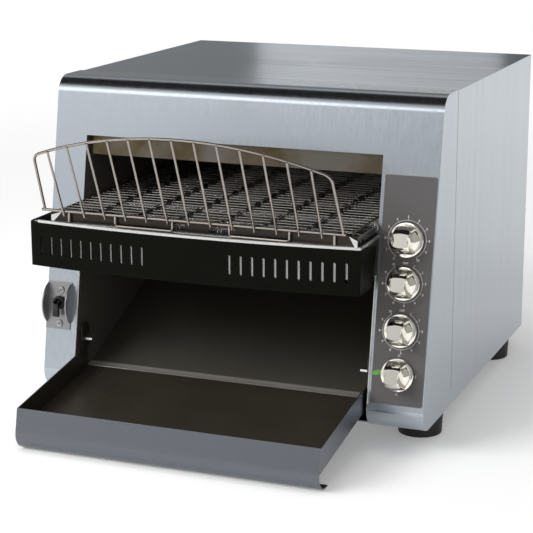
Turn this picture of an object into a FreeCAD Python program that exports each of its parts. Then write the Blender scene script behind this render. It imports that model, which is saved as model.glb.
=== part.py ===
import FreeCAD, Part
import math
import operator
import os
import Sketcher

# Conveyor toaster for a counter.
# Lengths are millimetres and angles are degrees.  X runs to the viewer's right, Y to the back
# and Z up.  The origin lies on the counter, under the middle of the whole outline.
# In the table below a depth is counted backwards from the line where the sloping front
# leaves its lower roll, a height from the counter, and a side place from the middle.

SIZES = (
    # cabinet
    ("cabinet_width", 470, "width over the side cheeks"),
    ("cabinet_height", 392, "counter to the top of the front"),
    ("body_depth", 472.6, "front line to the outside of the rear panel"),
    ("foot_height", 24.5, "counter to the underside of the base"),
    ("gauge", 1.2, "sheet steel of the cabinet"),
    ("rake_angle", 10, "slope of the front"),
    ("roll_radius", 22, "outside radius of the two rolls of the front"),
    ("seam_depth", 113.4, "front line to the seam of the side cheek"),
    ("seam_gap", 1, "width of the open seam"),
    ("seam_foot", 42, "height at which the open seam ends"),
    ("top_step", 1.2, "front standing proud of the top panel"),
    ("opening_left", -194.5, "left edge of the front opening"),
    ("opening_right", 169.5, "right edge of the front opening"),
    ("opening_top", 325.5, "upper edge of the front opening"),
    ("top_lap", 12, "top panel reaching under the front"),
    ("pan_flange", 16, "height of the flanges of the base"),
    ("bolt_hole_radius", 2.6, "hole for a fixing screw"),
    # feet
    ("foot_radius", 26.6, "radius of a foot"),
    ("foot_side", 208, "side place of the feet"),
    ("front_foot_depth", 82, "depth of the front feet"),
    ("rear_foot_inset", 72.6, "rear feet in from the back of the body"),
    ("foot_bore_radius", 9, "recess for the screw in a foot, over its corners"),
    ("foot_web", 6, "material over the recess"),
    ("foot_screw_head", 7, "radius of the head of a foot screw, over its corners"),
    ("foot_screw_head_height", 4, "height of that head"),
    ("foot_screw_radius", 2.5, "radius of the shank of a foot screw"),
    ("foot_screw_rise", 6, "shank above the underside of the base"),
    # inner walls and baffles
    ("wall_top", 372, "height of the upper edge of an inner wall"),
    ("wall_depth", 430, "depth of the rear edge of an inner wall"),
    ("visor_bottom", 302.7, "lower edge of the baffle behind the opening"),
    ("visor_back", 54, "depth of that edge"),
    ("visor_lip", 8, "lip along that edge"),
    ("baffle_gauge", 1, "sheet of the inner baffles"),
    ("upper_reflector_height", 341, "underside of the upper reflector"),
    ("upper_reflector_front", 70, "depth of its front edge"),
    ("upper_reflector_back", 345, "depth of its rear edge"),
    ("lower_reflector_height", 220, "underside of the lower reflector"),
    ("lower_reflector_front", 22, "depth of its front edge"),
    ("lower_reflector_back", 305, "depth of its rear edge"),
    ("reflector_flange", 9, "turned edges of the reflectors"),
    # heaters
    ("heater_radius", 5, "radius of a quartz tube"),
    ("heater_cap_size", 13, "side of the square ceramic end of a tube"),
    ("heater_cap_length", 16, "length of that end"),
    ("upper_heater_height", 322, "centre height of the upper tubes"),
    ("upper_heater_depth", 120, "depth of the first upper tube"),
    ("lower_heater_depth", 80, "depth of the first lower tube"),
    ("heater_pitch", 80, "pitch of the tubes"),
    ("holder_size", 20, "side of a clip that holds a tube end"),
    ("holder_length", 3.6, "thickness of that clip"),
    # conveyor
    ("rail_gauge", 2, "thickness of a conveyor rail"),
    ("rail_bottom", 215, "height of the lower edge of a rail"),
    ("rail_top", 243, "height of the upper edge of a rail"),
    ("rail_front", -40, "depth of the front end of a rail"),
    ("rail_back", 350, "depth of the rear end of a rail"),
    ("belt_left", -188, "left edge of the belt"),
    ("belt_right", 163, "right edge of the belt"),
    ("belt_wire", 1.8, "wire of the belt"),
    ("belt_bend_radius", 14, "outside radius of the belt round its ends"),
    ("slide_inset", 12, "slides in from the edges of the belt"),
    ("slide_width", 3, "width of a slide under the belt"),
    ("slide_height", 5, "height of a slide"),
    ("slide_front", 2, "depth of the front end of the slides"),
    ("slide_back", 304, "depth of the rear end of the slides"),
    ("slide_bar_size", 4, "side of the bars that carry the slides"),
    ("slide_bar_edge", 20, "bars in from the ends of the slides"),
    ("idler_depth", -24, "depth of the front axis of the belt"),
    ("drive_depth", 330, "depth of the rear axis of the belt"),
    ("belt_axis_height", 240, "height of both axes"),
    ("shaft_radius", 5, "radius of the conveyor shafts"),
    ("shaft_fit", 0.06, "running clearance of a shaft"),
    ("idler_left", -200, "left end of the front shaft"),
    ("shaft_inset", 0.9, "right end of a shaft inside the rail"),
    ("shaft_hole_radius", 6.2, "free hole for a shaft in sheet metal, over its corners"),
    ("bush_size", 17, "side of a bearing block"),
    ("bush_thickness", 3.6, "thickness of a bearing block"),
    ("sprocket_radius", 11.4, "radius of a belt sprocket"),
    ("sprocket_root_radius", 9.4, "radius between its teeth"),
    ("sprocket_width", 6, "width of a belt sprocket"),
    ("sprocket_tooth", 3, "width of a tooth"),
    # drive
    ("drive_left", -213, "left end of the rear shaft"),
    ("chain_side", -206, "side place of the middle of the chain"),
    ("chain_width", 5, "width of the chain"),
    ("chain_height", 7, "height of the links of the chain"),
    ("chain_wheel_radius", 20, "radius of a chain wheel"),
    ("chain_wheel_root", 17.5, "radius between its teeth"),
    ("chain_wheel_width", 2.6, "thickness of a chain wheel"),
    ("chain_clearance", 0.5, "chain clear of the wheels"),
    ("chain_wheel_hub", 9, "radius of the hub of a chain wheel"),
    ("chain_wheel_hub_length", 3, "length of that hub"),
    ("motor_height", 72, "height of the axis of the motor"),
    ("motor_shaft_radius", 4, "radius of the output shaft"),
    ("gearbox_length", 38, "length of the gearbox"),
    ("gearbox_size", 70, "side of the gearbox"),
    ("motor_length", 52, "length of the motor behind the gearbox"),
    ("motor_radius", 30, "radius of the motor"),
    ("motor_shaft_reach", 14, "output shaft inside the gearbox"),
    # discharge ramp and chute
    ("ramp_lip_front", 31, "depth of the lip of the ramp"),
    ("ramp_lip_length", 13, "length of that lip"),
    ("ramp_lip_height", 50, "height of that lip"),
    ("ramp_gauge", 1, "sheet of the ramp and chute"),
    ("ramp_back", 385, "depth of the rear edge of the ramp"),
    ("ramp_back_height", 196, "height of the rear edge of the ramp"),
    ("chute_back", 402, "depth of the upright part of the chute"),
    ("chute_turn_height", 226, "height at which the chute turns upright"),
    ("chute_top", 285, "height of the upper edge of the chute"),
    # product tray
    ("tray_side_gap", 2.8, "tray clear of the opening on each side"),
    ("tray_wall", 26.5, "height of the side walls"),
    ("tray_floor_rise", 25.7, "rise of the floor over its length"),
    ("tray_floor_back", 28, "depth of the rear edge of the floor"),
    ("tray_gauge", 1.2, "sheet of the tray"),
    ("tray_nose", 146, "nose of the tray in front of the front line"),
    ("tray_nose_radius", 19, "outside radius of the rolled nose"),
    ("tray_nose_clear", 0.4, "underside of the nose above the counter"),
    ("tray_nose_fall", 26.5, "upper edge down to the roll"),
    ("tray_lip", 8, "turned lip under the nose"),
    ("tray_ear_front", 14, "depth of the front edge of an ear"),
    ("tray_ear_back", 33, "depth of the rear edge of an ear"),
    ("tray_ear_top", 105, "height of the round top of an ear"),
    ("tray_pin_depth", 22, "depth of the tray pins"),
    ("tray_pin_height", 84.5, "height of the tray pins"),
    ("tray_pin_radius", 3, "radius of a tray pin"),
    ("tray_pin_length", 14, "pin standing in from the wall"),
    ("tray_slot_gap", 0.6, "slot of an ear clear of its pin"),
    # front cover, its brackets and trim
    ("cover_centre", -24.5, "side place of the middle of the cover"),
    ("cover_half", 198.5, "half width of the cover"),
    ("cover_bow", 13.5, "bow of the front"),
    ("cover_bottom", 187.1, "height of the lower edge"),
    ("cover_top", 239, "height of the upper edge"),
    ("cover_gauge", 1.5, "sheet of the cover"),
    ("cover_back_top", 15, "depth of the rear edge at the top"),
    ("cover_back_bottom", -1, "depth of the rear edge at the bottom"),
    ("cover_back_corner", 232.5, "height of the rear end of the top edge of a side"),
    ("cover_corner_radius", 5, "round rear corner of that edge"),
    ("slot_pitch", 13.1, "pitch of the slots"),
    ("slot_inner", 52.7, "innermost slot from the middle of the cover"),
    ("slot_width", 3, "width of a slot"),
    ("slot_bottom", 201, "height of the lower end of a slot"),
    ("slot_top", 223, "height of the upper end of a slot"),
    ("bracket_gauge", 1.2, "thickness of a cover bracket"),
    ("bracket_bottom", 197, "height of the lower edge of a bracket"),
    ("bracket_top", 240, "height of the upper edge of a bracket"),
    ("crossmember_bottom", 205, "height of the lower edge of the cross member"),
    ("crossmember_top", 253, "height of its upper edge"),
    ("window_bottom", 243.5, "height of the lower edge of its windows"),
    ("window_top", 251, "height of the upper edge of its windows"),
    ("small_window_left", -43, "left edge of the small window"),
    ("small_window_right", -29.5, "right edge of the small window"),
    ("large_window_left", -0.5, "left edge of the large window"),
    ("large_window_right", 30.7, "right edge of the large window"),
    ("trim_gauge", 1.2, "sheet of the front trim"),
    ("trim_rise", 2.5, "trim above the cover at its rear edge"),
    # wire guard
    ("guard_centre", -22, "side place of the middle of the guard"),
    ("guard_half", 178.5, "half width of the guard at the bottom rail"),
    ("guard_wire", 1.5, "radius of the frame wire"),
    ("guard_bar", 1.2, "radius of the upright wires"),
    ("guard_depth", -46, "depth of the bottom rail"),
    ("guard_height", 255, "height of the bottom rail"),
    ("guard_lean", 23.4, "lean of the guard towards the front"),
    ("guard_shoulder", 73, "bottom rail to the ends of the arch along the slope"),
    ("guard_crown", 105.7, "bottom rail to the crown of the arch along the slope"),
    ("guard_narrow", 4, "guard narrower at the shoulders on each side"),
    ("guard_pitch", 25.7, "pitch of the upright wires"),
    ("guard_tail", 5, "upright wires below the bottom rail"),
    ("guard_foot", 13.3, "foot loops below the bottom rail"),
    ("guard_loop_one", -113, "left end of the first foot loop"),
    ("guard_loop_two", 25, "left end of the second foot loop"),
    ("guard_loop_length", 70, "length of a foot loop"),
    ("guard_leg_one", -171, "side place of the left leg"),
    ("guard_leg_two", 146, "side place of the right leg"),
    # control panel
    ("overlay_left", 173.7, "left edge of the control overlay"),
    ("overlay_right", 233.2, "right edge of the control overlay"),
    ("overlay_bottom", 55.9, "height of its lower edge"),
    ("overlay_top", 305.1, "height of its upper edge"),
    ("overlay_gauge", 0.8, "thickness of the overlay"),
    ("overlay_corner", 2.5, "corner radius of the overlay"),
    ("spindle_hole", 4.4, "radius of a hole for a spindle"),
    ("knob_side", 203.3, "side place of the knobs"),
    ("speed_height", 236, "height of the speed knob"),
    ("upper_heat_height", 188.7, "height of the upper heat knob"),
    ("lower_heat_height", 137.4, "height of the lower heat knob"),
    ("power_height", 89.3, "height of the power knob"),
    ("knob_gap", 0.5, "knob clear of the overlay"),
    ("knob_radius", 18.8, "radius of the skirt of a knob"),
    ("speed_knob_radius", 19.6, "radius of the skirt of the speed knob"),
    ("knob_skirt", 5.5, "height of the skirt"),
    ("knob_grip_length", 33, "length of the grip at its foot"),
    ("knob_grip_top", 24, "length of the flat face of the grip"),
    ("knob_height", 25, "height of the knob"),
    ("spindle_end_gap", 1, "bore of a control beyond its spindle"),
    ("knob_grip_width", 17, "thickness of the grip at its waist"),
    ("knob_grip_end", 22, "thickness of the grip at its ends"),
    ("spindle_radius", 3, "radius of a spindle"),
    ("spindle_reach", 14, "spindle behind the knob"),
    ("control_neck_radius", 4.2, "radius of the neck of a control"),
    ("control_width", 34, "width of a control body"),
    ("control_height", 34, "height of a control body"),
    ("control_depth", 26, "depth of a control body"),
    ("speed_control_size", 24, "side of the speed control"),
    ("speed_control_depth", 12, "depth of the speed control"),
    ("power_control_depth", 34, "depth of the power switch"),
    ("terminal_thickness", 18, "thickness of the terminal block"),
    ("terminal_length", 70, "length of the terminal block"),
    ("terminal_height", 20, "height of the terminal block"),
    ("terminal_depth", 250, "depth of the terminal block"),
    ("terminal_base", 60, "height of the underside of the terminal block"),
    ("terminal_cut", 3, "grooves of the terminal block"),
    ("terminal_pitch", 11, "pitch of those grooves"),
    # toggle switch
    ("toggle_side", -217.8, "side place of the toggle switch"),
    ("toggle_height", 128.5, "height of the toggle switch"),
    ("toggle_body_width", 18, "width of the switch body"),
    ("toggle_body_height", 24, "height of the switch body"),
    ("toggle_body_depth", 26, "depth of the switch body"),
    ("toggle_neck_radius", 5.8, "radius of the threaded neck"),
    ("toggle_nut_radius", 8, "radius of the black bush"),
    ("toggle_nut_height", 6, "height of the black bush"),
    ("toggle_throat_radius", 5, "bore of the bush"),
    ("toggle_pivot", 2, "pivot of the lever above the front"),
    ("toggle_ball_radius", 3, "radius and half length of the pivot of the lever"),
    ("toggle_stem_radius", 2, "half the side of the stem of the lever"),
    ("toggle_stem_length", 11, "length of the stem"),
    ("toggle_paddle_width", 8, "width of the paddle"),
    ("toggle_paddle_length", 16, "length of the paddle"),
    ("toggle_paddle_thickness", 4.5, "thickness of the paddle"),
    ("toggle_paddle_drop", 13, "paddle below the stem"),
    ("guard_plate_left", -234.6, "left edge of the plate round the switch"),
    ("guard_plate_right", -203, "right edge of that plate"),
    ("guard_plate_bottom", 97.5, "height of its lower edge"),
    ("guard_plate_top", 153, "height of its upper edge"),
    ("guard_plate_gauge", 1.5, "thickness of that plate"),
    ("guard_wing", 15, "height of its wings"),
    ("guard_wing_low", 104, "height of the lower end of the wings"),
    ("guard_wing_high", 152, "height of the upper end of the wings"),
    ("toggle_hole_radius", 2.1, "holes for its screws"),
    ("toggle_screw_side", -216.5, "side place of its screws"),
    ("toggle_screw_upper", 143.5, "height of the upper screw"),
    ("toggle_screw_lower", 104.4, "height of the lower screw"),
    ("toggle_screw_radius", 4.2, "radius of a screw head"),
    ("toggle_screw_height", 1.8, "height of a screw head"),
    ("toggle_screw_shank", 1.9, "radius of a screw shank"),
    ("toggle_screw_length", 7, "length of a screw shank"),
    # rear
    ("fan_drop", 74, "axis of the fan under the top of the front"),
    ("fan_side", -12.5, "side place of the fan"),
    ("fan_size", 119, "side of the fan frame"),
    ("fan_thickness", 25, "thickness of the fan frame"),
    ("fan_bore_radius", 57, "bore of the fan frame"),
    ("fan_hub_radius", 19, "hub of the fan"),
    ("fan_motor_radius", 20, "seat of the fan motor"),
    ("fan_motor_height", 5, "thickness of that seat"),
    ("fan_arm_width", 5, "width of the arms of the seat"),
    ("fan_axle_radius", 2.5, "radius of the axle of the fan"),
    ("fan_blade_reach", 53, "length of a blade from the axis"),
    ("fan_blade_width", 22, "width of a blade"),
    ("fan_blade_gauge", 1.5, "thickness of a blade"),
    ("fan_rotor_height", 16, "height of the fan rotor"),
    ("fan_gap", 1.8, "rotor clear of its seat"),
    ("louvre_length", 96, "length of an air slot in the rear panel"),
    ("louvre_width", 4, "width of an air slot"),
    ("louvre_pitch", 9, "pitch of the air slots"),
    ("gland_side", 200, "side place of the cable inlet"),
    ("gland_height", 74, "height of the cable inlet"),
    ("gland_thread_radius", 9, "thread of the cable inlet"),
    ("gland_nut_radius", 13, "nut of the cable inlet"),
    ("gland_reach", 9, "cable inlet behind the rear panel"),
    ("gland_inside", 12, "cable inlet inside the rear panel"),
    ("gland_bore_radius", 5.5, "bore of the cable inlet"),
    ("gland_nut_thickness", 5, "thickness of its nuts"),
    ("rear_screw_head", 4.5, "radius of the head of a rear screw"),
    ("rear_screw_height", 2, "height of that head"),
    ("rear_screw_length", 6, "length of that screw"),
    ("rear_screw_radius", 2, "radius of its shank"),
    ("rear_screw_edge", 12, "rear screws from the edges of the panel"),
)

COUNTS_AND_ANGLES = (
    ("heater_count", 3, "tubes in each row"),
    ("belt_rows", 36, "cross wires round the belt"),
    ("belt_columns", 2, "meshes across the belt"),
    ("sprocket_count", 4, "belt sprockets on a shaft"),
    ("sprocket_teeth", 6, "teeth of a belt sprocket"),
    ("chain_wheel_teeth", 14, "teeth of a chain wheel"),
    ("slot_count", 11, "slots in each half of the cover"),
    ("guard_bars", 13, "upright wires of the guard"),
    ("fan_blades", 7, "blades of the fan"),
    ("louvre_count", 12, "air slots in the rear panel"),
    ("terminal_grooves", 5, "grooves of the terminal block"),
    ("blade_angle", 38, "pitch angle of the fan blades"),
    ("nose_angle", 12, "lean of the front of the tray"),
    ("hexagon", 6, "flats of a nut, a bolt or a shaft"),
    ("hole_flats", 8, "flats of a clearance hole"),
    ("wire_flats", 4, "flats of a wire of the guard"),
    ("housing_flats", 12, "flats of an inner housing"),
    ("round_flats", 32, "flats of a round moulding"),
    ("half_turn_chords", 6, "straight links round half a chain wheel"),
)

document = FreeCAD.newDocument("conveyor_toaster")
sheet = document.addObject("Spreadsheet::Sheet", "Sizes")
values = {}
for row, (word, value, note) in enumerate(SIZES + COUNTS_AND_ANGLES, start=1):
    sheet.set("A%d" % row, note)
    sheet.set("B%d" % row, str(value))
    sheet.setAlias("B%d" % row, word)
    values[word] = value
document.recompute()

OPERATORS = {"+": operator.add, "-": operator.sub, "*": operator.mul, "/": operator.truediv}


class Size:
    """A number of the table, or a sum of such numbers, with the same sum in words."""

    def __init__(self, number, words):
        self.number = float(number)
        self.words = words

    def __add__(self, other):
        return combined(self, "+", other)

    def __radd__(self, other):
        return combined(other, "+", self)

    def __sub__(self, other):
        return combined(self, "-", other)

    def __rsub__(self, other):
        return combined(other, "-", self)

    def __mul__(self, other):
        return combined(self, "*", other)

    def __rmul__(self, other):
        return combined(other, "*", self)

    def __truediv__(self, other):
        return combined(self, "/", other)

    def __rtruediv__(self, other):
        return combined(other, "/", self)

    def __neg__(self):
        return combined(0, "-", self)

    def __float__(self):
        return self.number


def as_size(value):
    return value if isinstance(value, Size) else Size(value, repr(float(value)))


def combined(left, sign, right):
    left = as_size(left)
    right = as_size(right)
    number = OPERATORS[sign](left.number, right.number)
    return Size(number, "(%s %s %s)" % (left.words, sign, right.words))


def sine(angle):
    return Size(math.sin(math.radians(angle.number)), "sin(%s)" % angle.words)


def cosine(angle):
    return Size(math.cos(math.radians(angle.number)), "cos(%s)" % angle.words)


def tangent(angle):
    return Size(math.tan(math.radians(angle.number)), "tan(%s)" % angle.words)


class Table:
    """The size table read by name."""

    def __getattr__(self, word):
        return Size(values[word], "Sizes." + word)


size = Table()

# Lines that many pieces share.
front_line = (size.tray_nose - size.body_depth - size.gland_reach) / 2


def deep(distance):
    """Place along Y of a depth counted from the front line."""
    return front_line + distance


half_width = size.cabinet_width / 2
inside_half = half_width - size.gauge
base_top = size.foot_height + size.gauge
rear_inside = size.body_depth - size.gauge
panel_top = size.cabinet_height - size.top_step
wall_left = size.opening_left - size.gauge
wall_right = size.opening_right + size.gauge
sine_rake = sine(size.rake_angle)
cosine_rake = cosine(size.rake_angle)
roll_depth = size.roll_radius * cosine_rake
roll_height = size.foot_height + size.roll_radius
slope_foot = roll_height + size.roll_radius * sine_rake
slope_head = size.cabinet_height - size.roll_radius + size.roll_radius * sine_rake


def slope_depth(height, behind=0):
    """Depth of the sloping front at a height, or of a face that lies behind it."""
    return (height - slope_foot) * tangent(size.rake_angle) + behind / cosine_rake


# Helpers for bound objects.
ALONG = {
    "x": FreeCAD.Rotation(FreeCAD.Vector(0, 1, 0), 90),
    "y": FreeCAD.Rotation(FreeCAD.Vector(1, 0, 0), -90),
    "z": FreeCAD.Rotation(),
}
PLANES = {"x": "YZ_Plane", "y": "XZ_Plane", "z": "XY_Plane"}
finished = {}


def bind(item, prop, value):
    """Give a property its number and tie it to the table."""
    value = as_size(value)
    setattr(item, prop, value.number)
    item.setExpression(prop, value.words)


def place(item, across, depth, height, turn=None):
    """Put an object at a place that is tied to the table."""
    spot = [as_size(entry) for entry in (across, depth, height)]
    vector = FreeCAD.Vector(*[entry.number for entry in spot])
    item.Placement = FreeCAD.Placement(vector, turn or FreeCAD.Rotation())
    for axis, entry in zip("xyz", spot):
        item.setExpression("Placement.Base." + axis, entry.words)
    return item


def finish(item, label):
    """Name an object as one piece of the part."""
    item.Label = label
    finished[label] = item
    return item


def box(name, across, depth, height, shift=front_line):
    """A block between pairs of limits; the depths are counted from the shift."""
    item = document.addObject("Part::Box", name)
    for prop, (low, high) in zip(("Length", "Width", "Height"), (across, depth, height)):
        bind(item, prop, high - low)
    return place(item, across[0], shift + depth[0], height[0])


def bar(name, axis, start, end, first, second, radius, shift=front_line):
    """A round bar along an axis; first and second place its middle on the other two axes."""
    item = document.addObject("Part::Cylinder", name)
    bind(item, "Radius", radius)
    bind(item, "Height", end - start)
    spots = {"x": (start, first, second), "y": (first, start, second), "z": (first, second, start)}
    across, depth, height = spots[axis]
    return place(item, across, shift + depth, height, turn=ALONG[axis])


def prism(name, axis, flats, start, end, first, second, radius, shift=front_line):
    """A bar with flats, placed as a round one; its radius is measured over the corners."""
    item = document.addObject("Part::Prism", name)
    item.Polygon = int(flats.number)
    item.setExpression("Polygon", flats.words)
    bind(item, "Circumradius", radius)
    bind(item, "Height", end - start)
    spots = {"x": (start, first, second), "y": (first, start, second), "z": (first, second, start)}
    across, depth, height = spots[axis]
    return place(item, across, shift + depth, height, turn=ALONG[axis])


def join(name, items):
    """Several objects made into one."""
    item = document.addObject("Part::MultiFuse", name)
    item.Shapes = list(items)
    item.Refine = True
    return item


def cut(name, base, tools):
    """An object with others taken out of it."""
    tools = list(tools)
    item = document.addObject("Part::Cut", name)
    item.Base = base
    item.Tool = tools[0] if len(tools) == 1 else join(name + "_tools", tools)
    item.Refine = True
    return item


def arc_between(first, last, radius, turn):
    """The short arc between two points, turning left or right."""
    chord = last - first
    middle = (first + last) * 0.5
    rise = math.sqrt(max(radius ** 2 - (chord.Length / 2) ** 2, 0))
    normal = FreeCAD.Vector(-chord.y, chord.x, 0).normalize()
    if turn == "right":
        normal = normal.negative()
        first, last = last, first
    centre = middle + normal * rise
    start = math.atan2(first.y - centre.y, first.x - centre.x)
    stop = math.atan2(last.y - centre.y, last.x - centre.x)
    circle = Part.Circle(centre, FreeCAD.Vector(0, 0, 1), radius)
    return Part.ArcOfCircle(circle, start, stop)


def outline(body, name, axis, path):
    """A closed sketch through the points of a path on the plane across an axis.

    An entry is (u, v) for a straight side to the next point, or (u, v, radius, turn)
    for a round one.
    """
    sketch = body.newObject("Sketcher::SketchObject", name)
    planes = body.Origin.OriginFeatures
    plane = [entry for entry in planes if entry.Role == PLANES[axis]][0]
    sketch.AttachmentSupport = [(plane, "")]
    sketch.MapMode = "FlatFace"
    path = [tuple(as_size(part) if index < 3 else part for index, part in enumerate(entry))
            for entry in path]
    points = [FreeCAD.Vector(entry[0].number, entry[1].number, 0) for entry in path]
    starts = []
    for index, entry in enumerate(path):
        first = points[index]
        last = points[(index + 1) % len(path)]
        if len(entry) > 2:
            sketch.addGeometry(arc_between(first, last, entry[2].number, entry[3]), False)
            starts.append(1 if entry[3] == "left" else 2)
        else:
            sketch.addGeometry(Part.LineSegment(first, last), False)
            starts.append(1)
    for index in range(len(path)):
        following = (index + 1) % len(path)
        sketch.addConstraint(Sketcher.Constraint(
            "Coincident", index, 3 - starts[index], following, starts[following]))
    for index, entry in enumerate(path):
        for kind, value in (("DistanceX", entry[0]), ("DistanceY", entry[1])):
            place_of = sketch.addConstraint(Sketcher.Constraint(
                kind, -1, 1, index, starts[index], value.number))
            sketch.setExpression("Constraints[%d]" % place_of, value.words)
        if len(entry) > 2:
            place_of = sketch.addConstraint(Sketcher.Constraint("Radius", index, entry[2].number))
            sketch.setExpression("Constraints[%d]" % place_of, entry[2].words)
    return sketch


def plate(name, axis, path, start, end, shift=front_line):
    """A flat outline pushed along an axis from one limit to another."""
    body = document.addObject("PartDesign::Body", name)
    pad = body.newObject("PartDesign::Pad", name + "_pad")
    pad.Profile = outline(body, name + "_outline", axis, path)
    pad.Reversed = axis == "y"
    bind(pad, "Length", end - start)
    body.Tip = pad
    spots = {"x": (start, shift, 0), "y": (0, shift + start, 0), "z": (0, shift, start)}
    return place(body, *spots[axis])


def repeated(body, sketch, tool, count, pitch, axis):
    """An opening made through a body and repeated along an axis."""
    pocket = body.newObject("PartDesign::Pocket", tool)
    pocket.Profile = sketch
    pocket.Type = "ThroughAll"
    pocket.Midplane = True
    row_of = body.newObject("PartDesign::LinearPattern", tool + "_row")
    row_of.Originals = [pocket]
    lines = body.Origin.OriginFeatures
    row_of.Direction = ([entry for entry in lines if entry.Role == axis][0], [""])
    bind(row_of, "Length", pitch * (count - 1))
    row_of.Occurrences = int(count.number)
    row_of.setExpression("Occurrences", count.words)
    body.Tip = row_of
    return row_of


def shape_piece(name, shape):
    """A shape worked out from the numbers of the table."""
    item = document.addObject("Part::Feature", name)
    item.Shape = shape
    return item


def on_slope(item, across, height, out=0, turn=None):
    """Put an object on the sloping front: its Z stands out of the front, its Y runs up it."""
    depth = deep(slope_depth(as_size(height)) - out * cosine_rake)
    tilt = FreeCAD.Rotation(FreeCAD.Vector(1, 0, 0), 90 - values["rake_angle"])
    place(item, across, depth, height + out * sine_rake, tilt * (turn or FreeCAD.Rotation()))
    return item


def star_path(root, reach, tooth, count):
    """Outline of a toothed wheel with straight teeth."""
    path = []
    for number in range(int(count.number)):
        angle = as_size(360) * number / count
        for along, out in ((-tooth / 2, root), (-tooth / 2, reach), (tooth / 2, reach),
                           (tooth / 2, root)):
            path.append((along * cosine(angle) + out * sine(angle),
                         out * cosine(angle) - along * sine(angle)))
    return path


def wheel(name, start, depth, height, width, path):
    """A toothed wheel about an axis along X."""
    return place(plate(name, "x", path, as_size(0), width, 0), start, deep(depth), height)


def chain_path(depth, low, high, radius):
    """An upright loop of straight links round two centres."""
    path = []
    for middle, start in ((low, 180), (high, 0)):
        for number in range(int(size.half_turn_chords.number) + 1):
            angle = start + 180 * number / size.half_turn_chords
            path.append((depth + radius * cosine(angle), middle + radius * sine(angle)))
    return path


def lying_loop_path(front, back, height, radius):
    """A lying racetrack round two centres."""
    return [(front, height - radius), (back, height - radius, radius, "left"),
            (back + radius, height, radius, "left"), (back, height + radius),
            (front, height + radius, radius, "left"), (front - radius, height, radius, "left")]


def slot_path(middle, low, high, width):
    """An upright slot."""
    radius = width / 2
    return [(middle - radius, low), (middle + radius, low), (middle + radius, high),
            (middle - radius, high)]


# Front of the cabinet: one rolled sheet with side cheeks.
inner_roll = size.roll_radius - size.gauge
head_depth = slope_depth(slope_head) + roll_depth
head_height = size.cabinet_height - size.roll_radius
fascia_outer = plate("fascia_outer", "x", [
    (roll_depth, size.foot_height, size.roll_radius, "right"),
    (0, slope_foot),
    (slope_depth(slope_head), slope_head, size.roll_radius, "right"),
    (head_depth, size.cabinet_height),
    (size.seam_depth, size.cabinet_height),
    (size.seam_depth, size.foot_height),
], -half_width, half_width)
fascia_inner = plate("fascia_inner", "x", [
    (roll_depth, base_top, inner_roll, "right"),
    (roll_depth - inner_roll * cosine_rake, roll_height + inner_roll * sine_rake),
    (head_depth - inner_roll * cosine_rake, head_height + inner_roll * sine_rake,
     inner_roll, "right"),
    (head_depth, size.cabinet_height - size.gauge),
    (size.seam_depth + size.gauge, size.cabinet_height - size.gauge),
    (size.seam_depth + size.gauge, size.foot_height - size.gauge),
    (roll_depth, size.foot_height - size.gauge),
], -inside_half, inside_half)
front_holes = [
    fascia_inner,
    box("front_opening", (size.opening_left, size.opening_right),
        (-size.roll_radius, size.seam_depth - size.gauge), (0, size.opening_top)),
]
knob_heights = {
    "speed": size.speed_height,
    "upper_heat": size.upper_heat_height,
    "lower_heat": size.lower_heat_height,
    "power": size.power_height,
}
for name, height in knob_heights.items():
    hole = prism(name + "_hole", "z", size.hole_flats, 0, 2 * size.roll_radius, 0, 0,
                 size.spindle_hole, 0)
    front_holes.append(on_slope(hole, size.knob_side, height, -size.roll_radius))
toggle_neck_hole = prism("toggle_neck_hole", "z", size.hole_flats, 0, 2 * size.roll_radius, 0, 0,
                         size.toggle_neck_radius, 0)
front_holes.append(on_slope(toggle_neck_hole, size.toggle_side, size.toggle_height,
                            -size.roll_radius))
for name, height in (("upper", size.toggle_screw_upper), ("lower", size.toggle_screw_lower)):
    hole = prism("toggle_screw_hole_" + name, "z", size.hole_flats, 0, 2 * size.roll_radius,
                 0, 0, size.toggle_hole_radius, 0)
    front_holes.append(on_slope(hole, size.toggle_screw_side, height, -size.roll_radius))
finish(cut("front_fascia_solid", fascia_outer, front_holes), "front_fascia")

# Base with turned up flanges, and the four feet under it.
pan_floor = box("pan_floor", (-inside_half, inside_half), (roll_depth, rear_inside),
                (size.foot_height, base_top))
pan_sides = [
    box("pan_left", (-inside_half, -inside_half + size.gauge), (size.roll_radius, rear_inside),
        (base_top, base_top + size.pan_flange)),
    box("pan_right", (inside_half - size.gauge, inside_half), (size.roll_radius, rear_inside),
        (base_top, base_top + size.pan_flange)),
    box("pan_rear", (-inside_half, inside_half), (rear_inside - size.gauge, rear_inside),
        (base_top, base_top + size.pan_flange)),
]
foot_spots = [(side * size.foot_side, depth) for side in (-1, 1)
              for depth in (size.front_foot_depth, size.body_depth - size.rear_foot_inset)]
pan_holes = []
foot_parts = []
foot_screw_parts = []
for number, (across, depth) in enumerate(foot_spots):
    mark = "_%d" % number
    web = size.foot_height - size.foot_web
    pan_holes.append(prism("pan_hole" + mark, "z", size.hexagon, size.foot_height - size.gauge,
                           base_top + size.gauge, across, depth, size.bolt_hole_radius))
    body = prism("foot_body" + mark, "z", size.round_flats, 0, size.foot_height, across, depth,
                 size.foot_radius)
    foot_parts.append(cut("foot" + mark, body, [
        prism("foot_bore" + mark, "z", size.hexagon, -size.gauge, web, across, depth,
              size.foot_bore_radius),
        prism("foot_screw_hole" + mark, "z", size.hexagon, 0, size.foot_height + size.gauge,
              across, depth, size.bolt_hole_radius),
    ]))
    foot_screw_parts.append(join("foot_screw" + mark, [
        prism("foot_screw_head" + mark, "z", size.hexagon, web - size.foot_screw_head_height, web,
              across, depth, size.foot_screw_head),
        prism("foot_screw_shank" + mark, "z", size.hexagon, web,
              size.foot_height + size.foot_screw_rise, across, depth, size.foot_screw_radius),
    ]))
finish(join("feet_solids", foot_parts), "feet")
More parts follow.
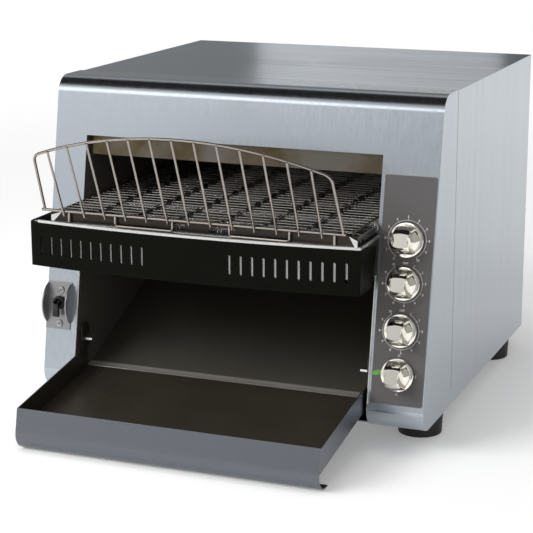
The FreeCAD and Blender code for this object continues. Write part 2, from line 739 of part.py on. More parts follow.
finish(join("foot_screws_solids", foot_screw_parts), "foot_screws")

# Side, top and rear panels.
side_path = [
    (size.seam_depth, size.foot_height),
    (size.body_depth, size.foot_height),
    (size.body_depth, panel_top),
    (size.seam_depth + size.seam_gap, panel_top),
    (size.seam_depth + size.seam_gap, size.seam_foot),
    (size.seam_depth, size.seam_foot),
]
finish(plate("left_side", "x", side_path, -half_width, -inside_half), "left_side_panel")
finish(plate("right_side", "x", side_path, inside_half, half_width), "right_side_panel")
rear_screw_sides = (-inside_half + size.rear_screw_edge, as_size(0),
                    inside_half - size.rear_screw_edge)
rear_screw_heights = (base_top + size.pan_flange / 2,
                      panel_top - size.gauge - size.pan_flange / 2)
rear_holes = {}
for high, height in enumerate(rear_screw_heights):
    rear_holes[high] = [
        prism("rear_screw_hole_%d_%d" % (high, number), "y", size.hexagon,
              rear_inside - 2 * size.gauge, size.body_depth + size.gauge, across, height,
              size.rear_screw_radius)
        for number, across in enumerate(rear_screw_sides)
    ]
finish(cut("base_pan_solid", join("pan_whole", [pan_floor] + pan_sides),
           pan_holes + rear_holes[0]), "base_pan")
top_whole = join("top_whole", [
    box("top_sheet", (-inside_half, inside_half), (size.seam_depth - size.top_lap, rear_inside),
        (panel_top - size.gauge, panel_top)),
    box("top_flange", (-inside_half, inside_half), (rear_inside - size.gauge, rear_inside),
        (panel_top - size.gauge - size.pan_flange, panel_top - size.gauge)),
])
finish(cut("top_panel_solid", top_whole, rear_holes[1]), "top_panel")
rear_sheet = plate("rear_sheet", "y", [
    (-inside_half, size.foot_height), (inside_half, size.foot_height),
    (inside_half, panel_top), (-inside_half, panel_top),
], rear_inside, size.body_depth)
fan_height = size.cabinet_height - size.fan_drop
louvre_low = fan_height - size.louvre_pitch * (size.louvre_count - 1) / 2
louvre_path = [
    (size.fan_side - size.louvre_length / 2, louvre_low - size.louvre_width / 2),
    (size.fan_side + size.louvre_length / 2, louvre_low - size.louvre_width / 2),
    (size.fan_side + size.louvre_length / 2, louvre_low + size.louvre_width / 2),
    (size.fan_side - size.louvre_length / 2, louvre_low + size.louvre_width / 2),
]
repeated(rear_sheet, outline(rear_sheet, "louvre_outline", "y", louvre_path), "louvre",
         size.louvre_count, size.louvre_pitch, "Z_Axis")
gland_hole = prism("gland_hole", "y", size.housing_flats, rear_inside - size.gauge,
                   size.body_depth + size.gauge, size.gland_side, size.gland_height,
                   size.gland_thread_radius)
finish(cut("rear_panel_solid", rear_sheet, [gland_hole] + rear_holes[0] + rear_holes[1]),
       "rear_panel")
rear_screw_parts = []
for high, height in enumerate(rear_screw_heights):
    for number, across in enumerate(rear_screw_sides):
        mark = "_%d_%d" % (high, number)
        rear_screw_parts.append(join("rear_screw" + mark, [
            prism("rear_screw_head" + mark, "y", size.hexagon, size.body_depth,
                  size.body_depth + size.rear_screw_height, across, height,
                  size.rear_screw_head),
            prism("rear_screw_shank" + mark, "y", size.hexagon,
                  size.body_depth - size.rear_screw_length, size.body_depth, across, height,
                  size.rear_screw_radius),
        ]))
finish(join("rear_screws_solids", rear_screw_parts), "rear_screws")

# Cable inlet in the rear panel.
gland_whole = join("gland_whole", [
    prism("gland_thread", "y", size.housing_flats, rear_inside - size.gland_inside,
          size.body_depth + size.gland_reach, size.gland_side, size.gland_height,
          size.gland_thread_radius),
    prism("gland_outer_nut", "y", size.hexagon, size.body_depth,
          size.body_depth + size.gland_nut_thickness, size.gland_side, size.gland_height,
          size.gland_nut_radius),
    prism("gland_inner_nut", "y", size.hexagon, rear_inside - size.gland_nut_thickness,
          rear_inside, size.gland_side, size.gland_height, size.gland_nut_radius),
])
finish(cut("cord_gland_solid", gland_whole, [
    prism("gland_bore", "y", size.hole_flats, rear_inside - 2 * size.gland_inside,
          size.body_depth + 2 * size.gland_reach, size.gland_side, size.gland_height,
          size.gland_bore_radius),
]), "cord_gland")

# Inner walls on both sides of the toasting space.
wall_path = [
    (roll_depth, base_top),
    (size.wall_depth, base_top),
    (size.wall_depth, size.wall_top),
    (slope_depth(size.wall_top, size.gauge), size.wall_top),
    (roll_depth - inner_roll * cosine_rake, roll_height + inner_roll * sine_rake, inner_roll,
     "left"),
]
left_wall = plate("left_wall", "x", wall_path, wall_left, size.opening_left)
left_wall_holes = [
    prism(name, "x", size.hole_flats, wall_left - size.gauge, size.opening_left + size.gauge,
          size.drive_depth, height, size.shaft_hole_radius)
    for name, height in (("wall_drive_hole", size.belt_axis_height),
                         ("wall_motor_hole", size.motor_height))
]
finish(cut("left_wall_solid", left_wall, left_wall_holes), "left_inner_wall")
finish(plate("right_wall", "x", wall_path, size.opening_right, wall_right), "right_inner_wall")

# Baffle behind the opening, and the reflectors over and under the belt.
visor_run = (size.wall_top - size.visor_bottom) * tangent(size.rake_angle)
finish(plate("visor_sheet", "x", [
    (size.visor_back, size.visor_bottom),
    (size.visor_back + size.visor_lip, size.visor_bottom),
    (size.visor_back + size.visor_lip, size.visor_bottom + size.baffle_gauge),
    (size.visor_back + size.baffle_gauge, size.visor_bottom + size.baffle_gauge),
    (size.visor_back + size.baffle_gauge + visor_run, size.wall_top),
    (size.visor_back + visor_run, size.wall_top),
], size.opening_left, size.opening_right), "visor")


def reflector(name, across, front, back, low, turned):
    """A sheet with both long edges turned up or down."""
    high = low + size.baffle_gauge
    flange = (high, high + size.reflector_flange) if turned == "up" else (
        low - size.reflector_flange, low)
    return join(name, [
        box(name + "_sheet", across, (front, back), (low, high)),
        box(name + "_front", across, (front, front + size.baffle_gauge), flange),
        box(name + "_back", across, (back - size.baffle_gauge, back), flange),
    ])


rail_left = size.opening_left + size.rail_gauge
rail_right = size.opening_right - size.rail_gauge
finish(reflector("upper_reflector_solid", (size.opening_left, size.opening_right),
                 size.upper_reflector_front, size.upper_reflector_back,
                 size.upper_reflector_height, "down"), "upper_reflector")
finish(reflector("lower_reflector_solid", (rail_left, rail_right), size.lower_reflector_front,
                 size.lower_reflector_back, size.lower_reflector_height, "down"),
       "lower_reflector")

# Quartz tubes and the clips that hold their ends.
holder_parts = []


def block_round(name, across, depth, height, side):
    """A square block round an axis along X."""
    return box(name, across, (depth - side / 2, depth + side / 2),
               (height - side / 2, height + side / 2))


def heater_row(name, left, right, first, height):
    """A row of tubes between two faces, with a clip at each end."""
    tubes = []
    for number in range(int(size.heater_count.number)):
        mark = "%s_%d" % (name, number)
        depth = first + number * size.heater_pitch
        tubes.append(join(mark + "_tube", [
            prism(mark + "_glass", "x", size.hole_flats, left, right, depth, height,
                  size.heater_radius),
            block_round(mark + "_left_cap", (left, left + size.heater_cap_length), depth, height,
                        size.heater_cap_size),
            block_round(mark + "_right_cap", (right - size.heater_cap_length, right), depth,
                        height, size.heater_cap_size),
        ]))
        for side, low in (("left", left), ("right", right - size.holder_length)):
            block = block_round(mark + "_%s_block" % side, (low, low + size.holder_length),
                                depth, height, size.holder_size)
            bore = block_round(mark + "_%s_bore" % side,
                               (low - size.gauge, low + size.holder_length + size.gauge),
                               depth, height, size.heater_cap_size)
            holder_parts.append(cut(mark + "_%s_holder" % side, block, [bore]))
    return join(name, tubes)


finish(heater_row("upper_tubes", size.opening_left, size.opening_right, size.upper_heater_depth,
                  size.upper_heater_height), "top_heater_tubes")
finish(heater_row("lower_tubes", rail_left, rail_right, size.lower_heater_depth,
                  size.belt_axis_height), "bottom_heater_tubes")
finish(join("holder_solids", holder_parts), "heater_holders")

# Conveyor rails, bearing blocks, shafts and their wheels.
for side, low in (("left", size.opening_left), ("right", rail_right)):
    rail = box(side + "_rail", (low, low + size.rail_gauge), (size.rail_front, size.rail_back),
               (size.rail_bottom, size.rail_top))
    finish(cut(side + "_rail_solid", rail, [
        prism("%s_%s_hole" % (side, axle), "x", size.hole_flats, low - size.gauge,
              low + 2 * size.rail_gauge, depth, size.belt_axis_height, size.shaft_hole_radius)
        for axle, depth in (("idler", size.idler_depth), ("drive", size.drive_depth))
    ]), side + "_conveyor_rail")
for axle, depth in (("idler", size.idler_depth), ("drive", size.drive_depth)):
    blocks = []
    for side, low in (("left", rail_left), ("right", rail_right - size.bush_thickness)):
        block = block_round("%s_%s_block" % (axle, side), (low, low + size.bush_thickness),
                            depth, size.belt_axis_height, size.bush_size)
        blocks.append(cut("%s_%s_bush" % (axle, side), block, [
            bar("%s_%s_bush_bore" % (axle, side), "x", low - size.gauge,
                low + size.bush_thickness + size.gauge, depth, size.belt_axis_height,
                size.shaft_radius + size.shaft_fit),
        ]))
    finish(join(axle + "_bush_solids", blocks), axle + "_bushes")
shaft_right = size.opening_right - size.shaft_inset
shaft_ends = {"idler": (size.idler_left, size.idler_depth),
              "drive": (size.drive_left, size.drive_depth)}
belt_span = size.belt_right - size.belt_left
journal_left = rail_left + size.bush_thickness
journal_right = rail_right - size.bush_thickness
sprocket_path = star_path(size.sprocket_root_radius, size.sprocket_radius, size.sprocket_tooth,
                          size.sprocket_teeth)
for axle, (left, depth) in shaft_ends.items():
    finish(join(axle + "_shaft_solid", [
        bar(axle + "_left_journal", "x", left, journal_left, depth, size.belt_axis_height,
            size.shaft_radius),
        prism(axle + "_hexagon", "x", size.hexagon, journal_left, journal_right, depth,
              size.belt_axis_height, size.shaft_radius),
        bar(axle + "_right_journal", "x", journal_right, shaft_right, depth,
            size.belt_axis_height, size.shaft_radius),
    ]), axle + "_shaft")
    rings = []
    for number in range(int(size.sprocket_count.number)):
        middle = size.belt_left + belt_span * (number + 0.5) / size.sprocket_count
        mark = "%s_sprocket_%d" % (axle, number)
        toothed = wheel(mark, middle - size.sprocket_width / 2, depth, size.belt_axis_height,
                        size.sprocket_width, sprocket_path)
        rings.append(cut(mark + "_bored", toothed, [
            prism(mark + "_bore", "x", size.hexagon, middle - size.sprocket_width,
                  middle + size.sprocket_width, depth, size.belt_axis_height,
                  size.shaft_radius),
        ]))
    finish(join(axle + "_sprocket_solids", rings), axle + "_sprockets")

# Wire belt: a thin loop with the meshes between its wires taken out.
belt_inner = size.belt_bend_radius - size.belt_wire
belt_loop = cut("belt_loop", plate("belt_outer", "x", lying_loop_path(
    size.idler_depth, size.drive_depth, size.belt_axis_height, size.belt_bend_radius),
    size.belt_left, size.belt_right), [plate("belt_inner", "x", lying_loop_path(
        size.idler_depth, size.drive_depth, size.belt_axis_height, belt_inner),
        size.belt_left - size.belt_wire, size.belt_right + size.belt_wire)])


def belt_meshes():
    """Blocks that fill the meshes of the belt, row by row round its loop."""
    middle_radius = float(size.belt_bend_radius - size.belt_wire / 2)
    run = float(size.drive_depth - size.idler_depth)
    bend = math.pi * middle_radius
    rows = int(float(size.belt_rows))
    columns = int(float(size.belt_columns))
    wire = float(size.belt_wire)
    pitch = 2 * (run + bend) / rows
    mesh = (float(belt_span) - wire) / columns
    blocks = []
    for row in range(rows):
        travel = row * pitch + pitch / 2
        if travel < run:
            centre, angle = (float(size.idler_depth) + travel, middle_radius), 0
        elif travel < run + bend:
            angle = -(travel - run) / middle_radius
            centre = (float(size.drive_depth) - middle_radius * math.sin(angle),
                      middle_radius * math.cos(angle))
        elif travel < 2 * run + bend:
            centre, angle = (float(size.drive_depth) - (travel - run - bend),
                             -middle_radius), math.pi
        else:
            angle = math.pi - (travel - 2 * run - bend) / middle_radius
            centre = (float(size.idler_depth) - middle_radius * math.sin(angle),
                      middle_radius * math.cos(angle))
        turn = FreeCAD.Rotation(FreeCAD.Vector(1, 0, 0), math.degrees(angle))
        for column in range(columns):
            block = Part.makeBox(mesh - wire, pitch - wire, 4 * wire,
                                 FreeCAD.Vector(0, -(pitch - wire) / 2, -2 * wire))
            left = float(size.belt_left) + wire + column * mesh
            spot = FreeCAD.Vector(left, float(deep(centre[0])),
                                  float(size.belt_axis_height) + centre[1])
            block.Placement = FreeCAD.Placement(spot, turn)
            blocks.append(block)
    return Part.makeCompound(blocks)


finish(cut("wire_belt_solid", belt_loop, [shape_piece("belt_mesh_blocks", belt_meshes())]),
       "wire_belt")
belt_under = size.belt_axis_height + belt_inner
slide_low = belt_under - size.slide_height
slide_parts = []
for side, left in (("left", size.belt_left + size.slide_inset),
                   ("right", size.belt_right - size.slide_inset - size.slide_width)):
    slide_parts.append(box(side + "_slide", (left, left + size.slide_width),
                           (size.slide_front, size.slide_back), (slide_low, belt_under)))
for name, depth in (("front", size.slide_front + size.slide_bar_edge),
                    ("back", size.slide_back - size.slide_bar_edge)):
    slide_parts.append(box(name + "_slide_bar", (rail_left, rail_right),
                           (depth - size.slide_bar_size / 2, depth + size.slide_bar_size / 2),
                           (slide_low - size.slide_bar_size, slide_low)))
finish(join("belt_slides_solid", slide_parts), "belt_slides")

# Chain drive in the left compartment and the gear motor under the ramp.
chain_left = size.chain_side - size.chain_width / 2
chain_inner = ((size.chain_wheel_radius + size.chain_clearance)
               / cosine(90 / size.half_turn_chords))
chain_outer = chain_inner + size.chain_height
finish(cut("chain_solid", plate("chain_outside", "x", chain_path(
    size.drive_depth, size.motor_height, size.belt_axis_height, chain_outer),
    chain_left, chain_left + size.chain_width), [plate("chain_inside", "x", chain_path(
        size.drive_depth, size.motor_height, size.belt_axis_height, chain_inner),
        chain_left - size.gauge, chain_left + size.chain_width + size.gauge)]), "drive_chain")
wheel_left = size.chain_side - size.chain_wheel_width / 2
wheel_right = wheel_left + size.chain_wheel_width
chain_wheel_path = star_path(size.chain_wheel_root, size.chain_wheel_radius,
                             size.chain_wheel_width, size.chain_wheel_teeth)
for name, height, bore in (("shaft", size.belt_axis_height, size.shaft_radius),
                           ("motor", size.motor_height, size.motor_shaft_radius)):
    toothed = wheel(name + "_chain_wheel", wheel_left, size.drive_depth, height,
                    size.chain_wheel_width, chain_wheel_path)
    hub = prism(name + "_wheel_hub", "x", size.hexagon, wheel_right,
                wheel_right + size.chain_wheel_hub_length, size.drive_depth, height,
                size.chain_wheel_hub)
    whole = join(name + "_wheel_whole", [toothed, hub])
    if name == "shaft":
        finish(cut("shaft_wheel_bored", whole, [
            bar("shaft_wheel_bore", "x", wheel_left - size.gauge,
                wheel_right + 2 * size.chain_wheel_hub_length, size.drive_depth, height, bore),
        ]), "shaft_sprocket")
    else:
        finish(join("motor_wheel_solid", [
            whole,
            bar("motor_output", "x", wheel_left, size.opening_left + size.motor_shaft_reach,
                size.drive_depth, height, bore),
        ]), "motor_sprocket")
gear_whole = join("gear_whole", [
    box("gearbox", (size.opening_left, size.opening_left + size.gearbox_length),
        (size.drive_depth - size.gearbox_size / 2, size.drive_depth + size.gearbox_size / 2),
        (size.motor_height - size.gearbox_size / 2, size.motor_height + size.gearbox_size / 2)),
    prism("motor_can", "x", size.housing_flats, size.opening_left + size.gearbox_length,
          size.opening_left + size.gearbox_length + size.motor_length, size.drive_depth,
          size.motor_height, size.motor_radius),
])
finish(cut("gear_motor_solid", gear_whole, [
    bar("gearbox_bore", "x", size.opening_left - size.gauge,
        size.opening_left + size.motor_shaft_reach + size.gauge, size.drive_depth,
        size.motor_height, size.motor_shaft_radius + size.shaft_fit),
]), "gear_motor")

# Discharge ramp under the belt and the chute behind it.
lip_back = size.ramp_lip_front + size.ramp_lip_length
finish(plate("ramp_sheet", "x", [
    (size.ramp_lip_front, size.ramp_lip_height - size.ramp_gauge),
    (lip_back, size.ramp_lip_height - size.ramp_gauge),
    (size.ramp_back, size.ramp_back_height - size.ramp_gauge),
    (size.ramp_back, size.ramp_back_height),
    (lip_back, size.ramp_lip_height),
    (size.ramp_lip_front, size.ramp_lip_height),
], size.opening_left, size.opening_right), "discharge_ramp")
finish(plate("chute_sheet", "x", [
    (size.ramp_back, size.ramp_back_height - size.ramp_gauge),
    (size.chute_back + size.ramp_gauge, size.chute_turn_height),
    (size.chute_back + size.ramp_gauge, size.chute_top),
    (size.chute_back, size.chute_top),
    (size.chute_back, size.chute_turn_height),
    (size.ramp_back, size.ramp_back_height),
], size.opening_left, size.opening_right), "rear_chute")

# Product tray that hooks on two pins.
nose_middle = size.tray_nose_radius - size.tray_nose
nose_height = size.tray_nose_radius + size.tray_nose_clear
nose_inner = size.tray_nose_radius - size.tray_gauge
lean_sine = sine(size.nose_angle)
lean_cosine = cosine(size.nose_angle)


def nose_point(radius, along):
    """A point of the front of the tray, on the roll or further up its straight part."""
    return (nose_middle - radius * lean_cosine + along * lean_sine,
            nose_height + radius * lean_sine + along * lean_cosine)


outer_turn = nose_point(size.tray_nose_radius, as_size(0))
outer_top = nose_point(size.tray_nose_radius, size.tray_nose_fall)
inner_turn = nose_point(nose_inner, as_size(0))
inner_top = nose_point(nose_inner, size.tray_nose_fall)
tray_slope = size.tray_floor_rise / (size.tray_floor_back - inner_top[0])


def tray_floor(depth):
    """Height of the underside of the floor of the tray at a depth."""
    return inner_top[1] - size.tray_wall + (depth - inner_top[0]) * tray_slope


tray_left = size.opening_left + size.tray_side_gap
tray_right = size.opening_right - size.tray_side_gap
tray_back = size.tray_floor_back
slot_radius = size.tray_pin_radius + size.tray_slot_gap
back_height = tray_floor(tray_back) + size.tray_wall
ear_middle = (size.tray_ear_front + size.tray_ear_back) / 2
ear_radius = (size.tray_ear_back - size.tray_ear_front) / 2
tray_side_path = [
    inner_turn,
    (tray_back, tray_floor(tray_back)),
    (tray_back, back_height),
    (size.tray_ear_back, back_height),
    (size.tray_ear_back, size.tray_pin_height - slot_radius),
    (size.tray_pin_depth, size.tray_pin_height - slot_radius, slot_radius, "right"),
    (size.tray_pin_depth - slot_radius, size.tray_pin_height, slot_radius, "right"),
    (size.tray_pin_depth, size.tray_pin_height + slot_radius),
    (size.tray_ear_back, size.tray_pin_height + slot_radius),
    (size.tray_ear_back, size.tray_ear_top - ear_radius, ear_radius, "left"),
    (ear_middle, size.tray_ear_top, ear_radius, "left"),
    (size.tray_ear_front, size.tray_ear_top - ear_radius),
    (size.tray_ear_front, tray_floor(size.tray_ear_front) + size.tray_wall),
    inner_top,
]
finish(join("tray_solid", [
    plate("tray_left_side", "x", tray_side_path, tray_left, tray_left + size.tray_gauge),
    plate("tray_right_side", "x", tray_side_path, tray_right - size.tray_gauge, tray_right),
    plate("tray_floor_sheet", "x", [
        (inner_turn[0], tray_floor(inner_turn[0])),
        (tray_back, tray_floor(tray_back)),
        (tray_back, tray_floor(tray_back) + size.tray_gauge),
        (inner_turn[0], tray_floor(inner_turn[0]) + size.tray_gauge),
    ], tray_left, tray_right),
    plate("tray_nose_sheet", "x", [
        outer_top,
        outer_turn + (size.tray_nose_radius, "left"),
        (nose_middle - size.tray_nose_radius, nose_height, size.tray_nose_radius, "left"),
        (nose_middle, size.tray_nose_clear),
        (nose_middle + size.tray_lip, size.tray_nose_clear),
        (nose_middle + size.tray_lip, size.tray_nose_clear + size.tray_gauge),
        (nose_middle, size.tray_nose_clear + size.tray_gauge, nose_inner, "right"),
        (nose_middle - nose_inner, nose_height, nose_inner, "right"),
        inner_turn,
        inner_top,
    ], tray_left, tray_right),
]), "product_tray")
finish(join("tray_pin_solids", [
    prism("left_tray_pin", "x", size.hole_flats, size.opening_left,
          size.opening_left + size.tray_pin_length, size.tray_pin_depth, size.tray_pin_height,
          size.tray_pin_radius),
    prism("right_tray_pin", "x", size.hole_flats, size.opening_right - size.tray_pin_length,
          size.opening_right, size.tray_pin_depth, size.tray_pin_height, size.tray_pin_radius),
]), "tray_pins")

# Bowed front cover with its brackets, cross member and trim.
cover_corner = size.rail_front - size.gauge
cover_left = size.cover_centre - size.cover_half
cover_right = size.cover_centre + size.cover_half
cover_rise = size.cover_top - size.cover_bottom


def bow_radius(half, bow):
    """Radius of an arc over a chord."""
    return (half * half + bow * bow) / (2 * bow)


outer_bow = bow_radius(size.cover_half, size.cover_bow)
inner_bow = bow_radius(size.cover_half - size.cover_gauge, size.cover_bow - size.cover_gauge)
cover_sheet = plate("cover_sheet", "z", [
    (cover_left, size.cover_back_top),
    (cover_left, cover_corner, outer_bow, "left"),
    (cover_right, cover_corner),
    (cover_right, size.cover_back_top),
    (cover_right - size.cover_gauge, size.cover_back_top),
    (cover_right - size.cover_gauge, cover_corner, inner_bow, "right"),
    (cover_left + size.cover_gauge, cover_corner),
    (cover_left + size.cover_gauge, size.cover_back_top),
], size.cover_bottom, size.cover_top)
for side, middle in (("left", size.cover_centre - size.slot_inner
                      - size.slot_pitch * (size.slot_count - 1)),
                     ("right", size.cover_centre + size.slot_inner)):
    slot_outline = outline(cover_sheet, side + "_slot_outline", "y", slot_path(
        middle, size.slot_bottom - size.cover_bottom, size.slot_top - size.cover_bottom,
        size.slot_width))
    repeated(cover_sheet, slot_outline, side + "_slots", size.slot_count, size.slot_pitch,
             "X_Axis")
corner_low = size.cover_back_corner - size.cover_corner_radius
rear_lean = (size.cover_back_top - size.cover_back_bottom) / (corner_low - size.cover_bottom)
finish(cut("front_cover_solid", cover_sheet, [plate("cover_wedge", "x", [
    (size.cover_back_bottom - size.gauge * rear_lean, size.cover_bottom - size.gauge),
    (size.cover_back_top + size.gauge, size.cover_bottom - size.gauge),
    (size.cover_back_top + size.gauge, size.cover_top + size.gauge),
    (cover_corner, size.cover_top + size.gauge),
    (cover_corner, size.cover_top),
    (size.cover_back_top - size.cover_corner_radius, size.cover_back_corner,
     size.cover_corner_radius, "right"),
    (size.cover_back_top, corner_low),
], cover_left, cover_right)]), "front_cover")
bracket_path = [
    (cover_corner, size.bracket_bottom),
    (slope_depth(size.bracket_bottom), size.bracket_bottom),
    (slope_depth(size.bracket_top), size.bracket_top),
    (cover_corner, size.bracket_top),
]
bracket_left = cover_left + size.cover_gauge
bracket_right = cover_right - size.cover_gauge
finish(plate("left_bracket_sheet", "x", bracket_path, bracket_left,
             bracket_left + size.bracket_gauge), "left_cover_bracket")
finish(plate("right_bracket_sheet", "x", bracket_path, bracket_right - size.bracket_gauge,
             bracket_right), "right_cover_bracket")
cross_ends = (size.opening_left, bracket_right - size.bracket_gauge)
cross_sheet = box("cross_sheet", cross_ends, (cover_corner, size.rail_front),
                  (size.crossmember_bottom, size.crossmember_top))
finish(cut("crossmember_solid", cross_sheet, [
    box("small_window", (size.small_window_left, size.small_window_right),
        (cover_corner - size.gauge, size.rail_front + size.gauge),
        (size.window_bottom, size.window_top)),
    box("large_window", (size.large_window_left, size.large_window_right),
        (cover_corner - size.gauge, size.rail_front + size.gauge),
        (size.window_bottom, size.window_top)),
]), "front_crossmember")
finish(join("trim_solid", [
    plate("trim_flange", "z", [
        (cover_left, cover_corner, outer_bow, "left"),
        (cover_right, cover_corner),
    ], size.cover_top, size.cover_top + size.trim_gauge),
    box("trim_upstand", cross_ends, (cover_corner - size.trim_gauge, cover_corner),
        (size.cover_top, size.cover_top + size.trim_rise)),
]), "front_trim")


def flat_sided(centre, axis, radius, flats):
    """A face across an axis whose corners lie on a circle."""
    start = axis.cross(FreeCAD.Vector(0, 0, 1))
    if start.Length < 0.5 * axis.Length:
        start = axis.cross(FreeCAD.Vector(0, 1, 0))
    start = start.normalize() * radius
    corners = [centre + FreeCAD.Rotation(axis, 360 * number / flats).multVec(start)
               for number in range(int(float(flats)))]
    return Part.Face(Part.makePolygon(corners + [corners[0]]))


def wire_through(points, radius):
    """A flat-sided wire through points, run past its turns by its own radius."""
    solids = []
    for number, (first, last) in enumerate(zip(points, points[1:])):
        along = (last - first).normalize() * radius
        start = first - along if number else first
        stop = last + along if number < len(points) - 2 else last
        solids.append(flat_sided(start, along, radius, float(size.wire_flats)).extrude(
            stop - start))
    return solids


def guard_shape():
    """The wire guard in its own plane: X across, Y up the lean."""
    frame = float(size.guard_wire)
    rod = float(size.guard_bar)
    half = float(size.guard_half)
    shoulder = float(size.guard_shoulder)
    crown = float(size.guard_crown)
    narrow = half - float(size.guard_narrow)
    arch = Part.Arc(FreeCAD.Vector(-narrow, shoulder, 0), FreeCAD.Vector(0, crown, 0),
                    FreeCAD.Vector(narrow, shoulder, 0)).toShape()
    hub = arch.Curve.Center
    start = arch.valueAt(arch.FirstParameter)
    section = flat_sided(start, arch.tangentAt(arch.FirstParameter), frame,
                         float(size.wire_flats))
    sweep = 2 * math.degrees(math.asin(narrow / arch.Curve.Radius))
    solids = [section.revolve(hub, FreeCAD.Vector(0, 0, 1), -sweep)]
    for side in (-1, 1):
        foot = FreeCAD.Vector(side * half, -frame, 0)
        top = FreeCAD.Vector(side * narrow, shoulder + frame, 0)
        solids += wire_through([foot, top], frame)
    solids += wire_through([FreeCAD.Vector(-half, 0, 0), FreeCAD.Vector(half, 0, 0)], frame)
    count = int(float(size.guard_bars))
    for number in range(count):
        across = (number - (count - 1) / 2) * float(size.guard_pitch)
        top = hub.y + math.sqrt(arch.Curve.Radius ** 2 - across ** 2)
        solids += wire_through([FreeCAD.Vector(across, -float(size.guard_tail), 0),
                                FreeCAD.Vector(across, top, 0)], rod)
    lean = math.radians(float(size.guard_lean))
    down = FreeCAD.Vector(0, -math.cos(lean), math.sin(lean)) * float(size.guard_foot)
    middle = float(size.guard_centre)
    for left in (float(size.guard_loop_one), float(size.guard_loop_two)):
        first = FreeCAD.Vector(left - middle, 0, 0)
        last = FreeCAD.Vector(left - middle + float(size.guard_loop_length), 0, 0)
        solids += wire_through([first, first + down, last + down, last], rod)
    for across in (float(size.guard_leg_one), float(size.guard_leg_two)):
        first = FreeCAD.Vector(across - middle, 0, 0)
        solids += wire_through([first, first + down], rod)
    return solids[0].fuse(solids[1:])


guard = shape_piece("wire_guard_solid", guard_shape())
place(guard, size.guard_centre, deep(size.guard_depth), size.guard_height,
      FreeCAD.Rotation(FreeCAD.Vector(1, 0, 0), 90 + values["guard_lean"]))
finish(guard, "wire_guard")

# Control overlay on the right leg, with rounded corners and a hole for each spindle.
overlay_rise = (size.overlay_top - size.overlay_bottom) / cosine_rake
overlay_half = (size.overlay_right - size.overlay_left) / 2
overlay_side = (size.overlay_right + size.overlay_left) / 2
corner = size.overlay_corner
overlay_sheet = plate("overlay_sheet", "z", [
    (-overlay_half + corner, 0),
    (overlay_half - corner, 0, corner, "left"),
    (overlay_half, corner),
    (overlay_half, overlay_rise - corner, corner, "left"),
    (overlay_half - corner, overlay_rise),
    (-overlay_half + corner, overlay_rise, corner, "left"),
    (-overlay_half, overlay_rise - corner),
    (-overlay_half, corner, corner, "left"),
], as_size(0), size.overlay_gauge, 0)
overlay_holes = [
    prism(name + "_overlay_hole", "z", size.hole_flats, -size.gauge, 2 * size.gauge,
          size.knob_side - overlay_side, (height - size.overlay_bottom) / cosine_rake,
          size.spindle_hole, 0)
    for name, height in knob_heights.items()
]
overlay = cut("control_overlay_solid", overlay_sheet, overlay_holes)
finish(on_slope(overlay, overlay_side, size.overlay_bottom), "control_overlay")

# Controls behind the overlay and the knobs in front of it.
control_sizes = {
    "speed": (size.speed_control_size, size.speed_control_size, size.speed_control_depth),
    "upper_heat": (size.control_width, size.control_height, size.control_depth),
    "lower_heat": (size.control_width, size.control_height, size.control_depth),
    "power": (size.control_width, size.control_height, size.power_control_depth),
}
control_names = {"speed": "speed_control", "upper_heat": "upper_heat_control",
                 "lower_heat": "lower_heat_control", "power": "power_switch"}
knob_base = size.overlay_gauge + size.knob_gap
grip_half = size.knob_grip_length / 2
grip_path = [
    (-size.knob_grip_end / 2, -grip_half), (size.knob_grip_end / 2, -grip_half),
    (size.knob_grip_width / 2, -grip_half / 3), (size.knob_grip_width / 2, grip_half / 3),
    (size.knob_grip_end / 2, grip_half), (-size.knob_grip_end / 2, grip_half),
    (-size.knob_grip_width / 2, grip_half / 3), (-size.knob_grip_width / 2, -grip_half / 3),
]


def bevel_path(side):
    """What the sloping end of a grip leaves over, on its lower or upper side."""
    return [(side * grip_half, size.knob_skirt),
            (side * 2 * grip_half, size.knob_skirt),
            (side * 2 * grip_half, size.knob_height + size.knob_skirt),
            (side * size.knob_grip_top / 2, size.knob_height + size.knob_skirt),
            (side * size.knob_grip_top / 2, size.knob_height)]


for name, (width, rise, thickness) in control_sizes.items():
    body = join(name + "_whole", [
        box(name + "_body", (-width / 2, width / 2), (-rise / 2, rise / 2),
            (-size.gauge - thickness, -size.gauge), 0),
        prism(name + "_neck", "z", size.hole_flats, -size.gauge, size.overlay_gauge, 0, 0,
              size.control_neck_radius, 0),
    ])
    bored = cut(name + "_bored", body, [
        bar(name + "_bore", "z", knob_base - size.spindle_reach - size.spindle_end_gap,
            size.overlay_gauge + size.gauge, 0, 0, size.spindle_radius + size.shaft_fit, 0),
    ])
    finish(on_slope(bored, size.knob_side, knob_heights[name]), control_names[name])
    skirt_radius = size.speed_knob_radius if name == "speed" else size.knob_radius
    grip = cut(name + "_grip", plate(name + "_grip_outline", "z", grip_path, as_size(0),
                                     size.knob_height, 0), [
        plate(name + "_lower_bevel", "x", bevel_path(-1), -size.knob_grip_end,
              size.knob_grip_end, 0),
        plate(name + "_upper_bevel", "x", bevel_path(1), -size.knob_grip_end,
              size.knob_grip_end, 0),
    ])
    knob = join(name + "_knob_solid", [
        grip,
        prism(name + "_skirt", "z", size.round_flats, 0, size.knob_skirt, 0, 0, skirt_radius, 0),
        bar(name + "_spindle", "z", -size.spindle_reach, size.knob_skirt, 0, 0,
            size.spindle_radius, 0),
    ])
    finish(on_slope(knob, size.knob_side, knob_heights[name], knob_base), name + "_knob")

